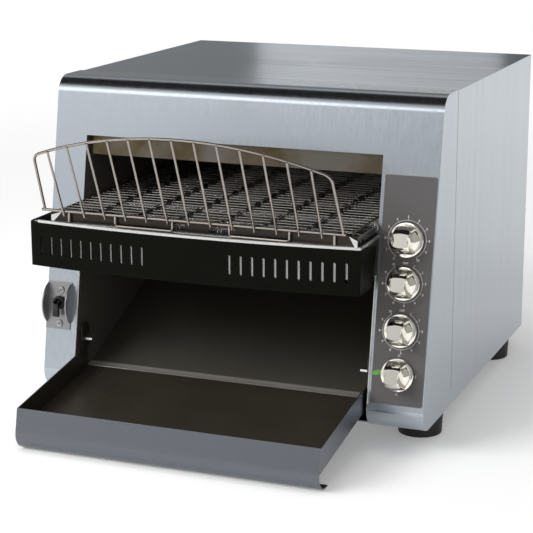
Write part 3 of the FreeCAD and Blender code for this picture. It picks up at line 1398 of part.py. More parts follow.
# Toggle switch on the left leg, with its plate, screws and lever.
toggle_parts = join("toggle_whole", [
    box("toggle_box", (-size.toggle_body_width / 2, size.toggle_body_width / 2),
        (-size.toggle_body_height / 2, size.toggle_body_height / 2),
        (-size.gauge - size.toggle_body_depth, -size.gauge), 0),
    prism("toggle_neck", "z", size.hole_flats, -size.gauge, size.guard_plate_gauge, 0, 0,
          size.toggle_neck_radius, 0),
])
toggle_body = cut("toggle_body_solid", toggle_parts, [
    prism("toggle_throat", "z", size.hole_flats,
          size.toggle_pivot - size.toggle_ball_radius - size.shaft_fit,
          2 * size.guard_plate_gauge, 0, 0, size.toggle_throat_radius, 0),
])
finish(on_slope(toggle_body, size.toggle_side, size.toggle_height), "toggle_body")
toggle_bush = cut("toggle_bush_solid", bar(
    "toggle_nut", "z", size.guard_plate_gauge, size.toggle_nut_height, 0, 0,
    size.toggle_nut_radius, 0), [
    prism("toggle_nut_bore", "z", size.hole_flats, 0, 2 * size.toggle_nut_height, 0, 0,
          size.toggle_throat_radius, 0),
])
finish(on_slope(toggle_bush, size.toggle_side, size.toggle_height), "toggle_bush")
lever = join("toggle_lever_solid", [
    bar("toggle_pivot_pin", "x", -size.toggle_ball_radius, size.toggle_ball_radius, 0,
        size.toggle_pivot, size.toggle_ball_radius, 0),
    box("toggle_stem", (-size.toggle_stem_radius, size.toggle_stem_radius),
        (-size.toggle_stem_radius, size.toggle_stem_radius),
        (size.toggle_pivot, size.toggle_stem_length), 0),
    box("toggle_paddle", (-size.toggle_paddle_width / 2, size.toggle_paddle_width / 2),
        (-size.toggle_paddle_drop, size.toggle_paddle_length - size.toggle_paddle_drop),
        (size.toggle_stem_length - size.toggle_paddle_thickness / 2,
         size.toggle_stem_length + size.toggle_paddle_thickness / 2), 0),
])
finish(on_slope(lever, size.toggle_side, size.toggle_height), "toggle_lever")


def up_slope(height):
    """Distance up the slope from the toggle switch to a height."""
    return (height - size.toggle_height) / cosine_rake


plate_left = size.guard_plate_left - size.toggle_side
plate_right = size.guard_plate_right - size.toggle_side
wing_half = (size.guard_wing_high - size.guard_wing_low) / (2 * cosine_rake)
wing_path = [
    (up_slope(size.guard_wing_low), 0),
    (up_slope(size.guard_wing_high), 0, bow_radius(wing_half, size.guard_wing), "left"),
]
guard_sheet = join("toggle_guard_whole", [
    box("toggle_plate", (plate_left, plate_right),
        (up_slope(size.guard_plate_bottom), up_slope(size.guard_plate_top)),
        (0, size.guard_plate_gauge), 0),
    plate("left_wing", "x", wing_path, plate_left, plate_left + size.guard_plate_gauge, 0),
    plate("right_wing", "x", wing_path, plate_right - size.guard_plate_gauge, plate_right, 0),
])
screw_side = size.toggle_screw_side - size.toggle_side
plate_holes = [prism("plate_neck_hole", "z", size.hole_flats, -size.gauge, 2 * size.gauge, 0, 0,
                     size.toggle_neck_radius, 0)]
screw_parts = []
for name, height in (("upper", size.toggle_screw_upper), ("lower", size.toggle_screw_lower)):
    plate_holes.append(prism(name + "_plate_hole", "z", size.hole_flats, -size.gauge,
                             2 * size.gauge, screw_side, up_slope(height),
                             size.toggle_hole_radius, 0))
    screw_parts.append(join(name + "_toggle_screw", [
        prism(name + "_toggle_screw_head", "z", size.housing_flats, size.guard_plate_gauge,
              size.guard_plate_gauge + size.toggle_screw_height, screw_side, up_slope(height),
              size.toggle_screw_radius, 0),
        prism(name + "_toggle_screw_shank", "z", size.hole_flats, -size.toggle_screw_length,
              size.guard_plate_gauge, screw_side, up_slope(height), size.toggle_screw_shank, 0),
    ]))
toggle_guard = cut("toggle_guard_solid", guard_sheet, plate_holes)
finish(on_slope(toggle_guard, size.toggle_side, size.toggle_height), "toggle_guard")
toggle_screws = join("toggle_screw_solids", screw_parts)
finish(on_slope(toggle_screws, size.toggle_side, size.toggle_height), "toggle_screws")

# Fan behind the rear panel: frame with a seat for the motor, and the rotor on its axle.
fan_front = rear_inside - size.fan_thickness
fan_half = size.fan_size / 2
fan_ring = cut("fan_ring", box("fan_block", (size.fan_side - fan_half, size.fan_side + fan_half),
                               (fan_front, rear_inside - size.gauge),
                               (fan_height - fan_half, fan_height + fan_half)), [
    prism("fan_bore", "y", size.round_flats, fan_front - size.gauge, size.body_depth,
          size.fan_side, fan_height, size.fan_bore_radius),
])
seat_front = rear_inside - size.gauge - size.fan_motor_height
finish(join("fan_frame_solid", [
    fan_ring,
    prism("fan_seat", "y", size.housing_flats, seat_front, rear_inside - size.gauge,
          size.fan_side, fan_height, size.fan_motor_radius),
    box("fan_arm_across", (size.fan_side - fan_half + size.gauge,
                           size.fan_side + fan_half - size.gauge),
        (seat_front, rear_inside - size.gauge),
        (fan_height - size.fan_arm_width / 2, fan_height + size.fan_arm_width / 2)),
    box("fan_arm_upright", (size.fan_side - size.fan_arm_width / 2,
                            size.fan_side + size.fan_arm_width / 2),
        (seat_front, rear_inside - size.gauge),
        (fan_height - fan_half + size.gauge, fan_height + fan_half - size.gauge)),
    bar("fan_axle", "y", fan_front + size.gauge, seat_front, size.fan_side, fan_height,
        size.fan_axle_radius),
]), "fan_frame")


def fan_shape():
    """Hub and pitched blades of the fan about the Y axis, its rear face at zero."""
    height = float(size.fan_rotor_height)
    hub = float(size.fan_hub_radius)
    back = FreeCAD.Vector(0, -1, 0)
    whole = flat_sided(FreeCAD.Vector(), back, hub, float(size.housing_flats)).extrude(back * height)
    width = float(size.fan_blade_width)
    gauge = float(size.fan_blade_gauge)
    reach = float(size.fan_blade_reach)
    count = int(float(size.fan_blades))
    blades = []
    for number in range(count):
        blade = Part.makeBox(reach - hub / 2, width, gauge,
                             FreeCAD.Vector(0, -width / 2, -gauge / 2))
        blade.rotate(FreeCAD.Vector(), FreeCAD.Vector(1, 0, 0), float(size.blade_angle))
        blade.translate(FreeCAD.Vector(hub / 2, -height / 2, 0))
        blade.rotate(FreeCAD.Vector(), FreeCAD.Vector(0, 1, 0), 360 / count * number)
        blades.append(blade)
    whole = whole.fuse(blades)
    bore = Part.makeCylinder(float(size.fan_axle_radius + size.shaft_fit), 2 * height,
                             FreeCAD.Vector(0, height / 2, 0), back)
    return whole.cut(bore)


rotor = shape_piece("fan_impeller_solid", fan_shape())
place(rotor, size.fan_side, deep(seat_front - size.fan_gap), fan_height)
finish(rotor, "fan_impeller")

# Terminal block in the right compartment.
terminal_grooves = [
    box("terminal_groove_%d" % number,
        (wall_right + size.terminal_thickness - size.terminal_cut,
         wall_right + size.terminal_thickness + size.gauge),
        (size.terminal_depth + size.terminal_pitch * (number + 1) - size.terminal_cut / 2,
         size.terminal_depth + size.terminal_pitch * (number + 1) + size.terminal_cut / 2),
        (size.terminal_base - size.gauge, size.terminal_base + 2 * size.terminal_height))
    for number in range(int(size.terminal_grooves.number))
]
finish(cut("terminal_solid", box("terminal_body", (wall_right,
                                                   wall_right + size.terminal_thickness),
                                 (size.terminal_depth, size.terminal_depth
                                  + size.terminal_length),
                                 (size.terminal_base, size.terminal_base
                                  + size.terminal_height)), terminal_grooves),
       "terminal_block")

# Check every object, then write each piece to its own file.
document.recompute()
for item in document.Objects:
    if "Invalid" in item.State or "Error" in item.State:
        raise RuntimeError("object %s could not be worked out" % item.Name)
for label, item in finished.items():
    if item.Shape.isNull() or not item.Shape.isValid() or item.Shape.Volume <= 0:
        raise RuntimeError("piece %s has no sound solid" % label)
os.makedirs("parts", exist_ok=True)
for label, item in finished.items():
    item.Shape.exportStep(os.path.join("parts", label + ".step"))
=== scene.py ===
"""Looks of a counter conveyor toaster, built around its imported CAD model."""

from math import asin, cos, pi, radians, sin, sqrt, tan

import bmesh
import bpy
from mathutils import Matrix, Vector


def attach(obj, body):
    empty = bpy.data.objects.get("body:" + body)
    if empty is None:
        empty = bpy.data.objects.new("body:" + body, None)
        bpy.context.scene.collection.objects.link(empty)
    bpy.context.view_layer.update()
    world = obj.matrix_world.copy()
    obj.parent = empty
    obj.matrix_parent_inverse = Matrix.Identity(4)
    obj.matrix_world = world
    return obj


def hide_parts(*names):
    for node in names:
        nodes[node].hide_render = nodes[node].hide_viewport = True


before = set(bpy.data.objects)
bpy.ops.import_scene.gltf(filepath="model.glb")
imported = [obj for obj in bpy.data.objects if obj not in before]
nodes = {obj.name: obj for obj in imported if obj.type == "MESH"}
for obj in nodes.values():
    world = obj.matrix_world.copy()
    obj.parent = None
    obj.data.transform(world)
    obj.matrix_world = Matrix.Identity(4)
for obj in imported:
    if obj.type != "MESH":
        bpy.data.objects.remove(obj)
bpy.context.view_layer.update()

# Photograph's camera: place in metres, angles in degrees, picture in pixels, sensor in millimetres
PICTURE_WIDTH = 533
CAMERA_PLACE = (0.7105, -1.8294, 0.6491)
CAMERA_TURN = 21.17
CAMERA_DIP = 14.10
FOCAL_PIXELS = 1657.4
MIDDLE_ACROSS = 280.1
SENSOR = 36.0

# Part's datum in millimetres: front line ahead of the origin, lean and foot of the sloping front
FRONT_LINE = 167.8
RAKE = radians(10)
SLOPE_FOOT = 50.32
BODY_DEPTH = 472.6

MILLIMETRES = Matrix.Scale(0.001, 4)
SMOOTH = radians(32)
WELD = 1e-7


# Places
def spot(across, depth, height):
    """A point in metres from millimetres, its depth counted from the front line."""
    return Vector((across, depth - FRONT_LINE, height)) / 1000


def frame_at(origin, across, along, out):
    """A matrix in millimetres with the given axes."""
    turn = Matrix((across, along, out)).transposed().to_4x4()
    return Matrix.Translation(origin) @ turn @ MILLIMETRES


def upright(across, depth):
    """Axes along those of the part, from a point on the counter."""
    return frame_at(spot(across, depth, 0), (1, 0, 0), (0, 1, 0), (0, 0, 1))


def on_slope(across, height, out=0.0):
    """Axes on the sloping front: X across, Y up the slope, Z out of it."""
    normal = Vector((0, -cos(RAKE), sin(RAKE)))
    foot = spot(across, (height - SLOPE_FOOT) * tan(RAKE), height)
    return frame_at(foot + normal * out / 1000, (1, 0, 0), (0, sin(RAKE), cos(RAKE)),
                    normal)


def polar(radius, angle, height=0.0):
    """A point from its radius and angle."""
    return Vector((radius * cos(angle), radius * sin(angle), height))


def turned_corner(points, radius, steps=5):
    """The points of a line with its inner corners rounded."""
    line = [Vector(points[0])]
    for before, corner, after in zip(points, points[1:], points[2:]):
        corner = Vector(corner)
        back = (Vector(before) - corner).normalized()
        ahead = (Vector(after) - corner).normalized()
        half = back.angle(ahead) / 2
        reach = radius / tan(half)
        reach = min(reach, 0.49 * (Vector(before) - corner).length,
                    0.49 * (Vector(after) - corner).length)
        true_radius = reach * tan(half)
        hub = corner + (back + ahead).normalized() * true_radius / sin(half)
        first = corner + back * reach - hub
        last = corner + ahead * reach - hub
        whole = first.angle(last)
        for step in range(steps + 1):
            turn = whole * step / steps
            line.append(hub + (first * sin(whole - turn)
                               + last * sin(turn)) / sin(whole))
    line.append(Vector(points[-1]))
    return line


# Meshes
class Shape:
    """Points and faces in the axes of a matrix, with a material number for each face."""

    def __init__(self):
        self.points = []
        self.faces = []
        self.looks = []

    def add(self, points, faces, look=0, axes=None):
        start = len(self.points)
        self.points += [axes @ Vector(point) if axes else Vector(point) for point in points]
        self.faces += [tuple(start + number for number in face) for face in faces]
        self.looks += [look] * len(faces)

    def loft(self, loops, look=0, axes=None):
        """Skin over closed loops of equal count, with both ends filled."""
        count = len(loops[0])
        last = (len(loops) - 1) * count
        faces = []
        for low in range(0, last, count):
            high = low + count
            faces += [(low + number, low + (number + 1) % count,
                       high + (number + 1) % count, high + number) for number in range(count)]
        faces.append(tuple(reversed(range(count))))
        faces.append(tuple(range(last, last + count)))
        self.add([point for loop in loops for point in loop], faces, look, axes)

    def turned(self, profile, look=0, axes=None, steps=48):
        """A turned form about Z from pairs of radius and height."""
        loops = [[polar(max(radius, 0.001), 2 * pi * step / steps, height)
                  for step in range(steps)] for radius, height in profile]
        self.loft(loops, look, axes)

    def tube(self, line, radius, look=0, axes=None, sides=10):
        """A round wire along a line of points."""
        line = [Vector(point) for point in line]
        loops = []
        normal = None
        for number, here in enumerate(line):
            before = line[max(number - 1, 0)]
            after = line[min(number + 1, len(line) - 1)]
            ahead = (after - before).normalized()
            if normal is None:
                normal = Vector((0, 0, 1)) if abs(ahead.z) < 0.8 else Vector((1, 0, 0))
            normal = (normal - ahead * normal.dot(ahead)).normalized()
            side = ahead.cross(normal)
            loops.append([here + (normal * cos(turn) + side * sin(turn)) * radius
                          for turn in (2 * pi * k / sides for k in range(sides))])
        self.loft(loops, look, axes)

    def block(self, low, high, look=0, axes=None, edge=0.0):
        """A box with its edges broken."""
        (x0, y0, z0), (x1, y1, z1) = low, high
        loop = [(x0 + edge, y0), (x1 - edge, y0), (x1, y0 + edge), (x1, y1 - edge),
                (x1 - edge, y1), (x0 + edge, y1), (x0, y1 - edge), (x0, y0 + edge)]
        inner = [(min(max(x, x0 + edge), x1 - edge), min(max(y, y0 + edge), y1 - edge))
                 for x, y in loop]
        self.loft([[(x, y, z0) for x, y in inner], [(x, y, z0 + edge) for x, y in loop],
                   [(x, y, z1 - edge) for x, y in loop], [(x, y, z1) for x, y in inner]],
                  look, axes)

    def mesh(self, name):
        """The welded mesh, its faces turned outwards."""
        data = bpy.data.meshes.new(name)
        data.from_pydata([tuple(point) for point in self.points], [], self.faces)
        for polygon, look in zip(data.polygons, self.looks):
            polygon.material_index = look
        work = bmesh.new()
        work.from_mesh(data)
        bmesh.ops.remove_doubles(work, verts=work.verts, dist=WELD)
        bmesh.ops.recalc_face_normals(work, faces=work.faces)
        work.to_mesh(data)
        work.free()
        return data


def placed(name, data):
    """A new object in the scene."""
    item = bpy.data.objects.new(name, data)
    bpy.context.scene.collection.objects.link(item)
    return item


def piece(name, shape, look_names, stands_for=(), body="cabinet", smooth=SMOOTH):
    """Put a shape or mesh into the scene as a piece that rides on a body."""
    mesh = shape.mesh(name) if isinstance(shape, Shape) else shape
    item = placed(name, mesh)
    for look_name in look_names:
        mesh.materials.append(looks[look_name])
    mesh.shade_smooth()
    mesh.set_sharp_from_angle(angle=smooth)
    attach(item, body)
    if stands_for:
        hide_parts(*stands_for)


def final_mesh(item):
    """The mesh that an object shows. The object goes."""
    seen = item.evaluated_get(bpy.context.evaluated_depsgraph_get())
    mesh = bpy.data.meshes.new_from_object(seen)
    bpy.data.objects.remove(item)
    return mesh


def curve_mesh(curve):
    """The mesh of a curve. The curve goes."""
    mesh = final_mesh(placed(curve.name, curve))
    bpy.data.curves.remove(curve)
    return mesh


def flat_mesh(name, outline, thick, edge, bottom):
    """A level sheet with broken edges, from the closed outline of its plan."""
    curve = bpy.data.curves.new(name, "CURVE")
    curve.dimensions = "2D"
    curve.fill_mode = "BOTH"
    curve.extrude = thick / 2 - edge
    curve.bevel_depth = edge
    curve.bevel_resolution = 1
    curve.offset = -edge
    spline = curve.splines.new("POLY")
    spline.points.add(len(outline) - 1)
    spline.use_cyclic_u = True
    for point, (x, y) in zip(spline.points, outline):
        point.co = (x, y, 0, 1)
    mesh = curve_mesh(curve)
    for vertex in mesh.vertices:
        vertex.co.z += thick / 2 + bottom
    return mesh


def add_mesh(shape, mesh, axes):
    """Move a mesh into a shape."""
    shape.add([vertex.co for vertex in mesh.vertices],
              [tuple(polygon.vertices) for polygon in mesh.polygons], axes=axes)
    bpy.data.meshes.remove(mesh)


def capsule(x, low, high, width, steps=8):
    """Outline of an upright slot with round ends."""
    half = width / 2
    cap = [polar(half, pi * k / steps) for k in range(steps + 1)]
    return ([(x + point.x, high - half + point.y) for point in cap]
            + [(x - point.x, low + half - point.y) for point in cap])


def round_box(x0, y0, x1, y1, radius, steps=5):
    """Outline of a rectangle with round corners."""
    line = []
    for hub_x, hub_y, start in ((x1 - radius, y1 - radius, 0), (x0 + radius, y1 - radius, 90),
                                (x0 + radius, y0 + radius, 180), (x1 - radius, y0 + radius, 270)):
        line += [(hub_x + radius * cos(radians(start + 90 * k / steps)),
                  hub_y + radius * sin(radians(start + 90 * k / steps)))
                 for k in range(steps + 1)]
    return line


def carve(mesh, cutter):
    """Take one closed mesh out of another."""
    base = placed("base", mesh)
    tool = placed("tool", cutter)
    step = base.modifiers.new("carve", "BOOLEAN")
    step.object = tool
    step.operation = "DIFFERENCE"
    step.solver = "EXACT"
    result = final_mesh(base)
    bpy.data.objects.remove(tool)
    bpy.data.meshes.remove(mesh)
    bpy.data.meshes.remove(cutter)
    return result


def islands(node):
    """Boxes, in millimetres from the front line, of the separate solids of a node."""
    work = bmesh.new()
    work.from_mesh(nodes[node].data)
    bmesh.ops.remove_doubles(work, verts=work.verts, dist=WELD)
    left = set(work.verts)
    boxes = []
    while left:
        open_ends = [left.pop()]
        found = []
        while open_ends:
            here = open_ends.pop()
            found.append(here.co * 1000 + Vector((0, FRONT_LINE, 0)))
            for edge in here.link_edges:
                other = edge.other_vert(here)
                if other in left:
                    left.remove(other)
                    open_ends.append(other)
        boxes.append((Vector([min(p[k] for p in found) for k in range(3)]),
                      Vector([max(p[k] for p in found) for k in range(3)])))
    work.free()
    return sorted(boxes, key=lambda pair: tuple(round(value) for value in pair[0]))


# Materials
class Look:
    """Nodes of one procedural material."""

    def __init__(self, name, colour, rough, metal=0.0, **sockets):
        self.material = bpy.data.materials.new(name)
        self.material.use_nodes = True
        self.tree = self.material.node_tree
        self.shader = self.tree.nodes["Principled BSDF"]
        self.colour = colour
        self.shader.inputs["Base Color"].default_value = (*colour, 1)
        self.shader.inputs["Roughness"].default_value = rough
        self.shader.inputs["Metallic"].default_value = metal
        for socket, value in sockets.items():
            self.shader.inputs[socket.replace("_", " ")].default_value = value
        self.place = self.node("ShaderNodeTexCoord").outputs["Object"]

    def node(self, kind, **values):
        made = self.tree.nodes.new(kind)
        for name, value in values.items():
            setattr(made, name, value)
        return made

    def link(self, start, end):
        self.tree.links.new(start, end)

    def feed(self, socket, value):
        self.link(value, self.shader.inputs[socket])

    def axis(self, letter):
        """The place on the part along one axis, in metres."""
        parts = self.node("ShaderNodeSeparateXYZ")
        self.link(self.place, parts.inputs[0])
        return parts.outputs[letter]

    def noise(self, scale, detail=3.0, shift=0.0):
        """Noise stretched by a scale for each axis, counted per metre."""
        mapping = self.node("ShaderNodeMapping")
        mapping.inputs["Scale"].default_value = scale
        mapping.inputs["Location"].default_value = (shift, shift, shift)
        self.link(self.place, mapping.inputs["Vector"])
        made = self.node("ShaderNodeTexNoise")
        made.inputs["Scale"].default_value = 1.0
        made.inputs["Detail"].default_value = detail
        self.link(mapping.outputs["Vector"], made.inputs["Vector"])
        return made.outputs["Fac"]

    def ranged(self, value, low, high, start=0.3, end=0.7):
        """Low at start to high at end, and level beyond them."""
        made = self.node("ShaderNodeMapRange")
        for number, bound in enumerate((start, end, low, high), 1):
            made.inputs[number].default_value = bound
        self.link(value, made.inputs[0])
        return made.outputs[0]

    def mixed(self, share, first, second):
        """A mix of two colours, each a tuple or a socket."""
        made = self.node("ShaderNodeMix", data_type="RGBA")
        self.link(share, made.inputs[0])
        for number, colour in ((6, first), (7, second)):
            if isinstance(colour, tuple):
                made.inputs[number].default_value = (*colour, 1)
            else:
                self.link(colour, made.inputs[number])
        return made.outputs[2]

    def tint(self, share, spread):
        """Vary the colour by a share either way."""
        dark = tuple(value * (1 - spread) for value in self.colour)
        pale = tuple(min(value * (1 + spread), 1) for value in self.colour)
        self.feed("Base Color", self.mixed(share, dark, pale))

    def rough(self, value, low, high):
        self.feed("Roughness", self.ranged(value, low, high))

    def relief(self, value, depth):
        """Bumps of a depth in metres."""
        bump = self.node("ShaderNodeBump")
        bump.inputs["Strength"].default_value = 0.5
        bump.inputs["Distance"].default_value = depth
        self.link(value, bump.inputs["Height"])
        self.feed("Normal", bump.outputs["Normal"])


def metal(name, colour, rough, grain, spread=0.08, depth=0.00002, **sockets):
    """Metal with a grain and faint patches."""
    look = Look(name, colour, rough, 1.0, **sockets)
    lines = look.noise(grain)
    patches = look.noise((9, 9, 9), 4.0, 3.0)
    look.tint(lines, spread)
    look.rough(patches, rough * 0.85, rough * 1.2)
    look.relief(lines, depth)
    return look


def moulded(name, colour, rough, grain, spread=0.15, depth=0.00005, shine=0.5):
    """Plastic, rubber, paint or ceramic with a fine surface."""
    look = Look(name, colour, rough, Specular_IOR_Level=shine)
    fine = look.noise((grain, grain, grain))
    patches = look.noise((25, 25, 25), 4.0, 5.0)
    look.tint(patches, spread)
    look.rough(patches, rough * 0.85, rough * 1.15)
    look.relief(fine, depth)
    return look


def facing(look, hub):
    """How far a face turns towards a point of the part, from 0 to 1."""
    geometry = look.node("ShaderNodeNewGeometry")
    away = look.node("ShaderNodeVectorMath", operation="SUBTRACT")
    away.inputs[0].default_value = hub
    look.link(look.place, away.inputs[1])
    turn = look.node("ShaderNodeVectorTransform", vector_type="NORMAL", convert_from="WORLD",
                     convert_to="OBJECT")
    look.link(geometry.outputs["True Normal"], turn.inputs[0])
    product = look.node("ShaderNodeVectorMath", operation="DOT_PRODUCT")
    look.link(away.outputs[0], product.inputs[0])
    look.link(turn.outputs[0], product.inputs[1])
    return look.ranged(product.outputs["Value"], 0.0, 1.0, -0.0002, 0.0002)


def stainless(name, colour, grain, bands):
    """Brushed sheet of the cabinet with the scale of its grain on each axis."""
    look = metal(name, colour, 0.2, grain, 0.06, 0.000004, Anisotropic=0.3)
    streaks = look.noise(bands, 2.0, 8.0)
    look.rough(streaks, 0.18, 0.27)
    return look.material


def tray_look():
    """Steel outside, dark non-stick coat inside."""
    look = Look("tray_sheet", (0.27, 0.28, 0.29), 0.34, 1.0)
    inside = facing(look, spot(-12.5, -55, 66))
    lines = look.noise((6, 60, 1300))
    specks = look.noise((900, 900, 900), 2.0, 2.0)
    stains = look.noise((14, 14, 14), 5.0, 6.0)
    steel = look.mixed(lines, (0.152, 0.166, 0.186), (0.18, 0.194, 0.214))
    coat = look.mixed(stains, (0.036, 0.031, 0.024), (0.062, 0.052, 0.039))
    look.feed("Base Color", look.mixed(inside, steel, coat))
    look.feed("Metallic", look.ranged(inside, 1.0, 0.25, 0.0, 1.0))
    look.rough(stains, 0.26, 0.38)
    look.relief(specks, 0.00003)
    return look.material


def ramp_look():
    """Dark coat on the slope; bare metal on the lip, pale and less metallic, partly as a painted
    highlight.
    """
    look = Look("ramp_sheet", (0.03, 0.027, 0.022), 0.34, 0.35)
    lip = look.ranged(look.axis("Y"), 0.0, 1.0, spot(0, 46, 0).y, spot(0, 43.5, 0).y)
    stains = look.noise((12, 12, 12), 5.0, 1.0)
    coat = look.mixed(stains, (0.075, 0.072, 0.060), (0.11, 0.104, 0.086))
    # Pale, less metallic lip: partly its own bare steel, partly a painted highlight in place of its
    # reflections.
    bare_and_highlight = look.mixed(stains, (0.46, 0.43, 0.39), (0.60, 0.57, 0.53))
    look.feed("Base Color", look.mixed(lip, coat, bare_and_highlight))
    look.feed("Metallic", look.ranged(lip, 0.3, 0.6, 0.0, 1.0))
    look.rough(stains, 0.28, 0.4)
    look.relief(look.noise((900, 900, 900), 2.0), 0.00003)
    return look.material


def heated_metal(name, cool, warm, rough):
    """Steel with faint heat colours in patches."""
    look = Look(name, cool, rough, 1.0)
    patches = look.noise((16, 16, 16), 4.0, 4.0)
    look.feed("Base Color", look.mixed(look.ranged(patches, 0.0, 1.0, 0.42, 0.66), cool, warm))
    look.rough(patches, rough * 0.8, rough * 1.25)
    look.relief(look.noise((1200, 60, 60)), 0.00001)
    return look.material


def stained_wall():
    """Sheet dulled and browned by heat."""
    look = Look("inner_steel", (0.15, 0.142, 0.125), 0.42, 0.4)
    stains = look.noise((10, 10, 14), 5.0, 3.0)
    look.feed("Base Color", look.mixed(stains, (0.11, 0.104, 0.088), (0.21, 0.196, 0.17)))
    look.rough(stains, 0.34, 0.5)
    look.relief(look.noise((9, 50, 900)), 0.00001)
    return look.material


def crossmember_look():
    """Bright plate, darker above the flange."""
    look = Look("dark_sheet", (0.3, 0.3, 0.3), 0.4, 1.0)
    stains = look.noise((20, 20, 60), 4.0, 2.0)
    pale = look.mixed(stains, (0.34, 0.33, 0.33), (0.42, 0.41, 0.41))
    # Darker colour above the flange.
    dark_above_flange = look.mixed(stains, (0.025, 0.022, 0.019), (0.06, 0.052, 0.044))
    height = look.ranged(look.axis("Z"), 0.0, 1.0, 0.236, 0.243)
    look.feed("Base Color", look.mixed(height, pale, dark_above_flange))
    look.rough(stains, 0.3, 0.45)
    look.relief(look.noise((9, 700, 700)), 0.00001)
    return look.material


def glass_look():
    """Clear quartz, faintly clouded."""
    look = Look("quartz_glass", (0.93, 0.94, 0.95), 0.06, IOR=1.46, Transmission_Weight=0.9)
    cloud = look.noise((40, 300, 300), 3.0)
    look.tint(cloud, 0.05)
    look.rough(cloud, 0.04, 0.16)
    return look.material


def leaf_look():
    """Printed patch of two greens."""
    look = Look("green_print", (0.10, 0.36, 0.05), 0.4)
    look.feed("Base Color", look.mixed(look.noise((700, 700, 250), 1.0), (0.07, 0.27, 0.04),
                                       (0.20, 0.50, 0.09)))
    look.rough(look.noise((900, 900, 900), 2.0, 4.0), 0.35, 0.45)
    return look.material


# Colour, roughness and grain on each axis, then the spread of the colour and the bumps' depth
METALS = {
    "rear_steel": ((0.42, 0.43, 0.44), 0.42, (600, 60, 12), 0.06),
    "bare_steel": ((0.52, 0.51, 0.49), 0.30, (40, 700, 700)),
    "belt_wire": ((0.44, 0.42, 0.39), 0.24, (60, 900, 900), 0.1),
    "guard_wire": ((0.36, 0.325, 0.29), 0.12, (300, 300, 60), 0.06, 0.000005),
    "shaft_steel": ((0.46, 0.46, 0.46), 0.34, (900, 90, 90)),
    "sprocket_steel": ((0.40, 0.40, 0.41), 0.4, (700, 700, 700)),
    "bronze_bush": ((0.50, 0.34, 0.17), 0.36, (800, 800, 800)),
    "clip_steel": ((0.45, 0.44, 0.42), 0.36, (700, 700, 200)),
    "silver_trim": ((0.62, 0.62, 0.61), 0.26, (12, 900, 900), 0.06),
    "chrome_knob": ((0.95, 0.92, 0.85), 0.06, (900, 900, 900), 0.03, 0.000004),
    "coil_wire": ((0.30, 0.27, 0.24), 0.45, (900, 900, 900)),
    "dark_steel": ((0.10, 0.10, 0.10), 0.4, (700, 700, 700)),
    "guard_steel": ((0.32, 0.32, 0.325), 0.36, (900, 900, 12)),
    "rail_steel": ((0.13, 0.125, 0.12), 0.3, (700, 9, 700)),
    "bracket_steel": ((0.20, 0.172, 0.18), 0.34, (700, 9, 700)),
}
# Colour, roughness and grain, then the spread of the colour, the bumps' depth and the shine
MOULDINGS = {
    "black_cover": ((0.0052, 0.0055, 0.0038), 0.3, 2200, 0.2, 0.000012, 0.03),
    "overlay_film": ((0.118, 0.113, 0.112), 0.42, 5200, 0.05, 0.00002, 0.25),
    "black_plastic": ((0.012, 0.012, 0.012), 0.38, 1800, 0.2),
    "foot_rubber": ((0.018, 0.018, 0.017), 0.6, 1500, 0.2),
    "motor_paint": ((0.05, 0.055, 0.06), 0.4, 900),
    "ceramic": ((0.72, 0.69, 0.62), 0.55, 1200, 0.08),
    "white_print": ((0.80, 0.80, 0.78), 0.45, 3000, 0.03, 0.00001),
}
looks = {name: metal(name, *values).material for name, values in METALS.items()}
looks.update((name, moulded(name, *values).material) for name, values in MOULDINGS.items())
looks.update({
    "brushed_stainless": stainless("brushed_stainless", (0.48, 0.523, 0.571), (1100, 1100, 3),
                                   (420, 420, 1.5)),
    "inner_steel": stained_wall(),
    "reflector_steel": heated_metal("reflector_steel", (0.26, 0.24, 0.21), (0.20, 0.15, 0.10),
                                    0.3),
    "dark_sheet": crossmember_look(),
    "ramp_sheet": ramp_look(),
    "tray_sheet": tray_look(),
    "quartz": glass_look(),
    "green_print": leaf_look(),
})
# Nodes whose look isn't that of their slot
special = {
    "toggle_guard": looks["guard_steel"],
    "toggle_screws": looks["dark_steel"],
    "left_conveyor_rail": looks["rail_steel"],
    "right_conveyor_rail": looks["rail_steel"],
    "left_cover_bracket": looks["bracket_steel"],
    "right_cover_bracket": looks["bracket_steel"],
    "visor": heated_metal("visor_steel", (0.17, 0.157, 0.135), (0.09, 0.063, 0.027), 0.24),
    "top_panel": stainless("brushed_top", (0.43, 0.495, 0.56), (7, 1300, 1300), (3, 500, 500)),
}
for node in nodes.values():
    for holder in node.material_slots:
        if holder.material:
            holder.material = looks[holder.material.name.split(".")[0]]
for name, look in special.items():
    nodes[name].material_slots[0].material = look


# Black front cover: bowed front, sides that lean and round off at the rear, slots with round ends
COVER_MIDDLE = -24.5
COVER_HALF = 198.5
COVER_BOW = 13.5
COVER_LOW = 187.1
COVER_TOP = 239.0
COVER_CORNER = -41.2
COVER_REAR = 10
COVER_SHOULDER = 232.5
COVER_SHEET = 1.5
SLOTS = 11
SLOT_FIRST = 52.7
SLOT_PITCH = 13.1
SLOT_LOW = 201
SLOT_HIGH = 223
SLOT_WIDTH = 3.0


def bow_line(half, bow, steps=48):
    """Points of the bow in plan from left to right, about the middle of the cover."""
    radius = (half * half + bow * bow) / (2 * bow)
    sweep = asin(half / radius)
    return [(radius * sin(turn), COVER_CORNER - bow + radius * (1 - cos(turn)))
            for turn in (sweep * (2 * k / steps - 1) for k in range(steps + 1))]


